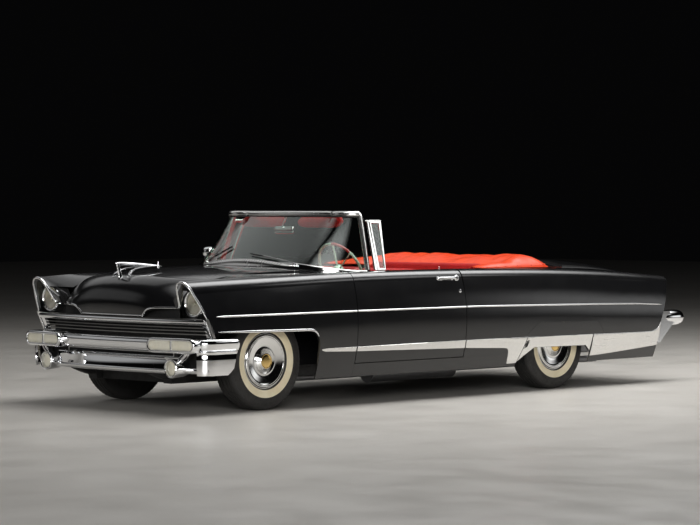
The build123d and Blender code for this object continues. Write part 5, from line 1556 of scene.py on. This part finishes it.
for t in np.linspace(0, 1, 12):
    post_rings.append([(879 - 48 * t + a, 884 - 134 * t + b, 1006 + 366 * t)
                       for a, b in round_box(36, 13, 5, 4)])
pair("vent_post", skin(post_rings), polished_steel, DOORS, slot="chrome")
print("door top:", [round(c) for c in door_top])

# %% [markdown]
# The car has one outer mirror, on the right door, and a short aerial on the right fender. The mirror's
# shell could be half a sphere, but rings of rounded boxes give its flatter, wider shape.

# %% Outer mirror and aerial
post = flowing([(1052, -872, 996), (1050, -868, 1040), (1040, -862, 1085), (1030, -858, 1108)], 5)
shell = []
for x, width, height in ((1062, 8, 6), (1056, 52, 38), (1044, 88, 64), (1026, 106, 78), (1016, 110, 82),
                         (1010, 108, 80)):
    shell.append([(x, -852 + a, 1122 + b)
                  for a, b in round_box(width, height, min(width, height) * 0.42, 5)])
base = turned([(0, -14), (24, -14), (22, 2), (12, 10), (0, 12)], 28, "Z", (1052, -872, 990))
piece("outer_mirror", join(skin(shell), bar(post, circle(8, 14)), base), chrome, "right_door", "chrome")
outer_face = [[(1009.6, -852 + a, 1122 + b) for a, b in round_box(100, 72, 30, 5)],
              [(1009.0, -852 + a, 1122 + b) for a, b in round_box(98, 70, 29, 5)]]
piece("outer_mirror_glass", skin(outer_face), mirror_glass, "right_door", "chrome")
aerial = join(turned([(0, -16), (17, -16), (15, 0), (8, 8), (6, 12), (0, 12)], 24, "Z", (1560, -850, 985)),
              bar([(1560, -850, 990), (1552, -850, 1040), (1550, -850, 1052)], circle(4, 10)))
piece("aerial", aerial, chrome, slot="chrome")

# %% [markdown]
# ## Rear bumper pods
# Each end of the rear bumper carries a long bullet that stands out past the corner. It is turned about
# its own axis, blunt at the tail and drawn out to a point in the corner, in one outline without a joint.

# %% Rear bumper pods
TAIL_POD = [(0, -2828), (22, -2824), (42, -2812), (55, -2792), (62, -2764), (65, -2730), (65, -2650),
            (61, -2585), (50, -2525), (31, -2482), (0, -2462)]
pair("rear_bumper_pod", turned(TAIL_POD, 48, "X", (0, 903, 540)), chrome, slot="chrome")
print("rear pod length:", TAIL_POD[-1][1] - TAIL_POD[0][1])

# %% [markdown]
# ## Under the hood
# The engine block gets what shows first when the hood is open: a round air cleaner on top, a ribbed cover
# along each row of valves, and the fan with its pulley. Boxes would do from afar, but the open hood shows
# it from close by. A ray finds the room below the closed hood.

# %% Engine dressing
hood_inside = hood_top.ray_cast(Vector((1850, 120, 890)), Vector((0, 0, 1)))[0]
room = hood_inside.z - 880
print("room above the engine:", round(room))
CLEANER = [(0, 1.0), (16, 0.98), (20, 0.9), (60, 0.88), (138, 0.82), (160, 0.70), (166, 0.5), (160, 0.3),
           (138, 0.16), (80, 0.08), (80, -0.05), (0, -0.05)]
tall = min(74.0, room - 22)
piece("air_cleaner", turned([(r, h * tall) for r, h in CLEANER], 64, "Z", (1850, 0, 880)), polished_steel,
      slot="cast_iron")
nut = turned([(0, 9), (7, 8), (10, 3), (10, -3), (0, -3)], 12, "Z", (1850, 0, 880 + tall))
cover_rings = []
for x in np.linspace(1570, 2230, 56):
    end = min(1.0, min(x - 1570, 2230 - x) / 26)
    rib = 1.0 + 0.06 * math.cos((x - 1570) * 2 * math.pi / 60)
    size = (0.55 + 0.45 * math.sqrt(max(0.0, end))) * rib
    cover_rings.append([(x, 216 + a * size, 802 + (b + 32) * size) for a, b in round_box(108, 64, 24, 5)])
pair("valve_cover", skin(cover_rings), bare_steel, slot="cast_iron")
pulley = turned([(0, 44), (40, 44), (62, 40), (62, 34), (52, 30), (62, 26), (62, 20), (30, 16), (30, -4),
                 (0, -4)], 40, "X", (2300, 0, 640))
blades = []
for k in range(4):
    angle = math.radians(45 + 90 * k)
    way = Vector((0, math.cos(angle), math.sin(angle)))
    side = Vector((0.5, -math.sin(angle) * 0.87, math.cos(angle) * 0.87))
    hub = Vector((2352, 0, 640))
    blade_rings = []
    for r, half in ((34, 18), (70, 26), (130, 38), (185, 44), (196, 36)):
        middle = hub + way * r
        thick = Vector((1.6, 0, 0))
        low, high = middle - side * half, middle + side * half
        blade_rings.append([low - thick, high - thick, high + thick, low + thick])
    blades.append(skin(blade_rings))
piece("engine_fan", join(pulley, nut, *blades), bare_steel, slot="cast_iron")

# %% [markdown]
# ## Floor and light
# A pale studio floor and six large soft lights. The room around stays dim, so that the lacquer and the
# chrome have something dark to show too. Plain lamps would draw hard rectangles on the lacquer, so each
# one fades towards its edges.

# %% Floor and light
floor_finish, tree, shader = new_finish("studio_floor", (0.57, 0.545, 0.505), 0.4)
two_tone(tree, shader, noise(tree, 0.6), (0.53, 0.505, 0.465), (0.59, 0.565, 0.525))
uneven(tree, shader, 2.5, 0.3, 0.42)
bpy.ops.mesh.primitive_plane_add(size=80.0, location=(0, 0, 0))
floor = bpy.context.object
floor.name = "floor"
floor.data.materials.append(floor_finish)

world = bpy.data.worlds.new("studio")
world.use_nodes = True
world.node_tree.nodes["Background"].inputs["Color"].default_value = (0.0016, 0.0016, 0.0017, 1.0)
bpy.context.scene.world = world


def soft_light(name, place, target, size, power, edge=0.5):
    """A rectangular light at place, turned to target, that fades towards its edges."""
    lamp = bpy.data.lights.new(name, "AREA")
    lamp.shape = "RECTANGLE"
    lamp.size, lamp.size_y = size
    lamp.energy = power
    lamp.use_nodes = True
    tree = lamp.node_tree
    where = tree.nodes.new("ShaderNodeNewGeometry")
    parts = tree.nodes.new("ShaderNodeSeparateXYZ")
    tree.links.new(where.outputs["Parametric"], parts.inputs["Vector"])
    both = tree.nodes.new("ShaderNodeMath")
    both.operation = "MULTIPLY"
    for i in range(2):
        off = tree.nodes.new("ShaderNodeMath")
        off.operation = "SUBTRACT"
        off.inputs[1].default_value = 0.5
        reach = tree.nodes.new("ShaderNodeMath")
        reach.operation = "ABSOLUTE"
        fade = tree.nodes.new("ShaderNodeMapRange")
        fade.interpolation_type = "SMOOTHSTEP"
        fade.inputs["From Min"].default_value = 0.5
        fade.inputs["From Max"].default_value = 0.5 * (1 - edge)
        tree.links.new(parts.outputs[i], off.inputs[0])
        tree.links.new(off.outputs[0], reach.inputs[0])
        tree.links.new(reach.outputs[0], fade.inputs["Value"])
        tree.links.new(fade.outputs["Result"], both.inputs[i])
    tree.links.new(both.outputs[0], tree.nodes["Emission"].inputs["Strength"])
    light = bpy.data.objects.new(name, lamp)
    light.location = place
    light.rotation_euler = (Vector(target) - Vector(place)).to_track_quat("-Z", "Y").to_euler()
    bpy.context.scene.collection.objects.link(light)
    return light


soft_light("overhead", (-2.4, 1.4, 6.2), (-2.4, 1.0, 0.0), (17.0, 6.0), 2100.0, 0.8)
soft_light("front_left_wall", (17.5, 18.5, 6.5), (0.8, 0.6, 0.5), (17.0, 9.0), 7600.0, 0.8)
soft_light("rear_left_wall", (-14.5, 10.0, 2.5), (-0.6, 0.8, 0.6), (8.0, 5.5), 150.0, 0.8)
soft_light("left_card", (-7.6, 7.4, 6.6), (0.8, 0.8, 1.2), (6.0, 3.5), 130.0, 0.7)
soft_light("front_right_wall", (9.5, -9.5, 5.0), (1.0, 0.0, 1.0), (11.0, 8.0), 90.0, 0.6)
soft_light("right_wall", (-1.2, -6.5, 8.6), (0.6, -0.5, 1.0), (13.0, 11.0), 270.0, 0.4)
bpy.context.scene.view_settings.view_transform = "Standard"
print("lights:", len(bpy.data.lights))
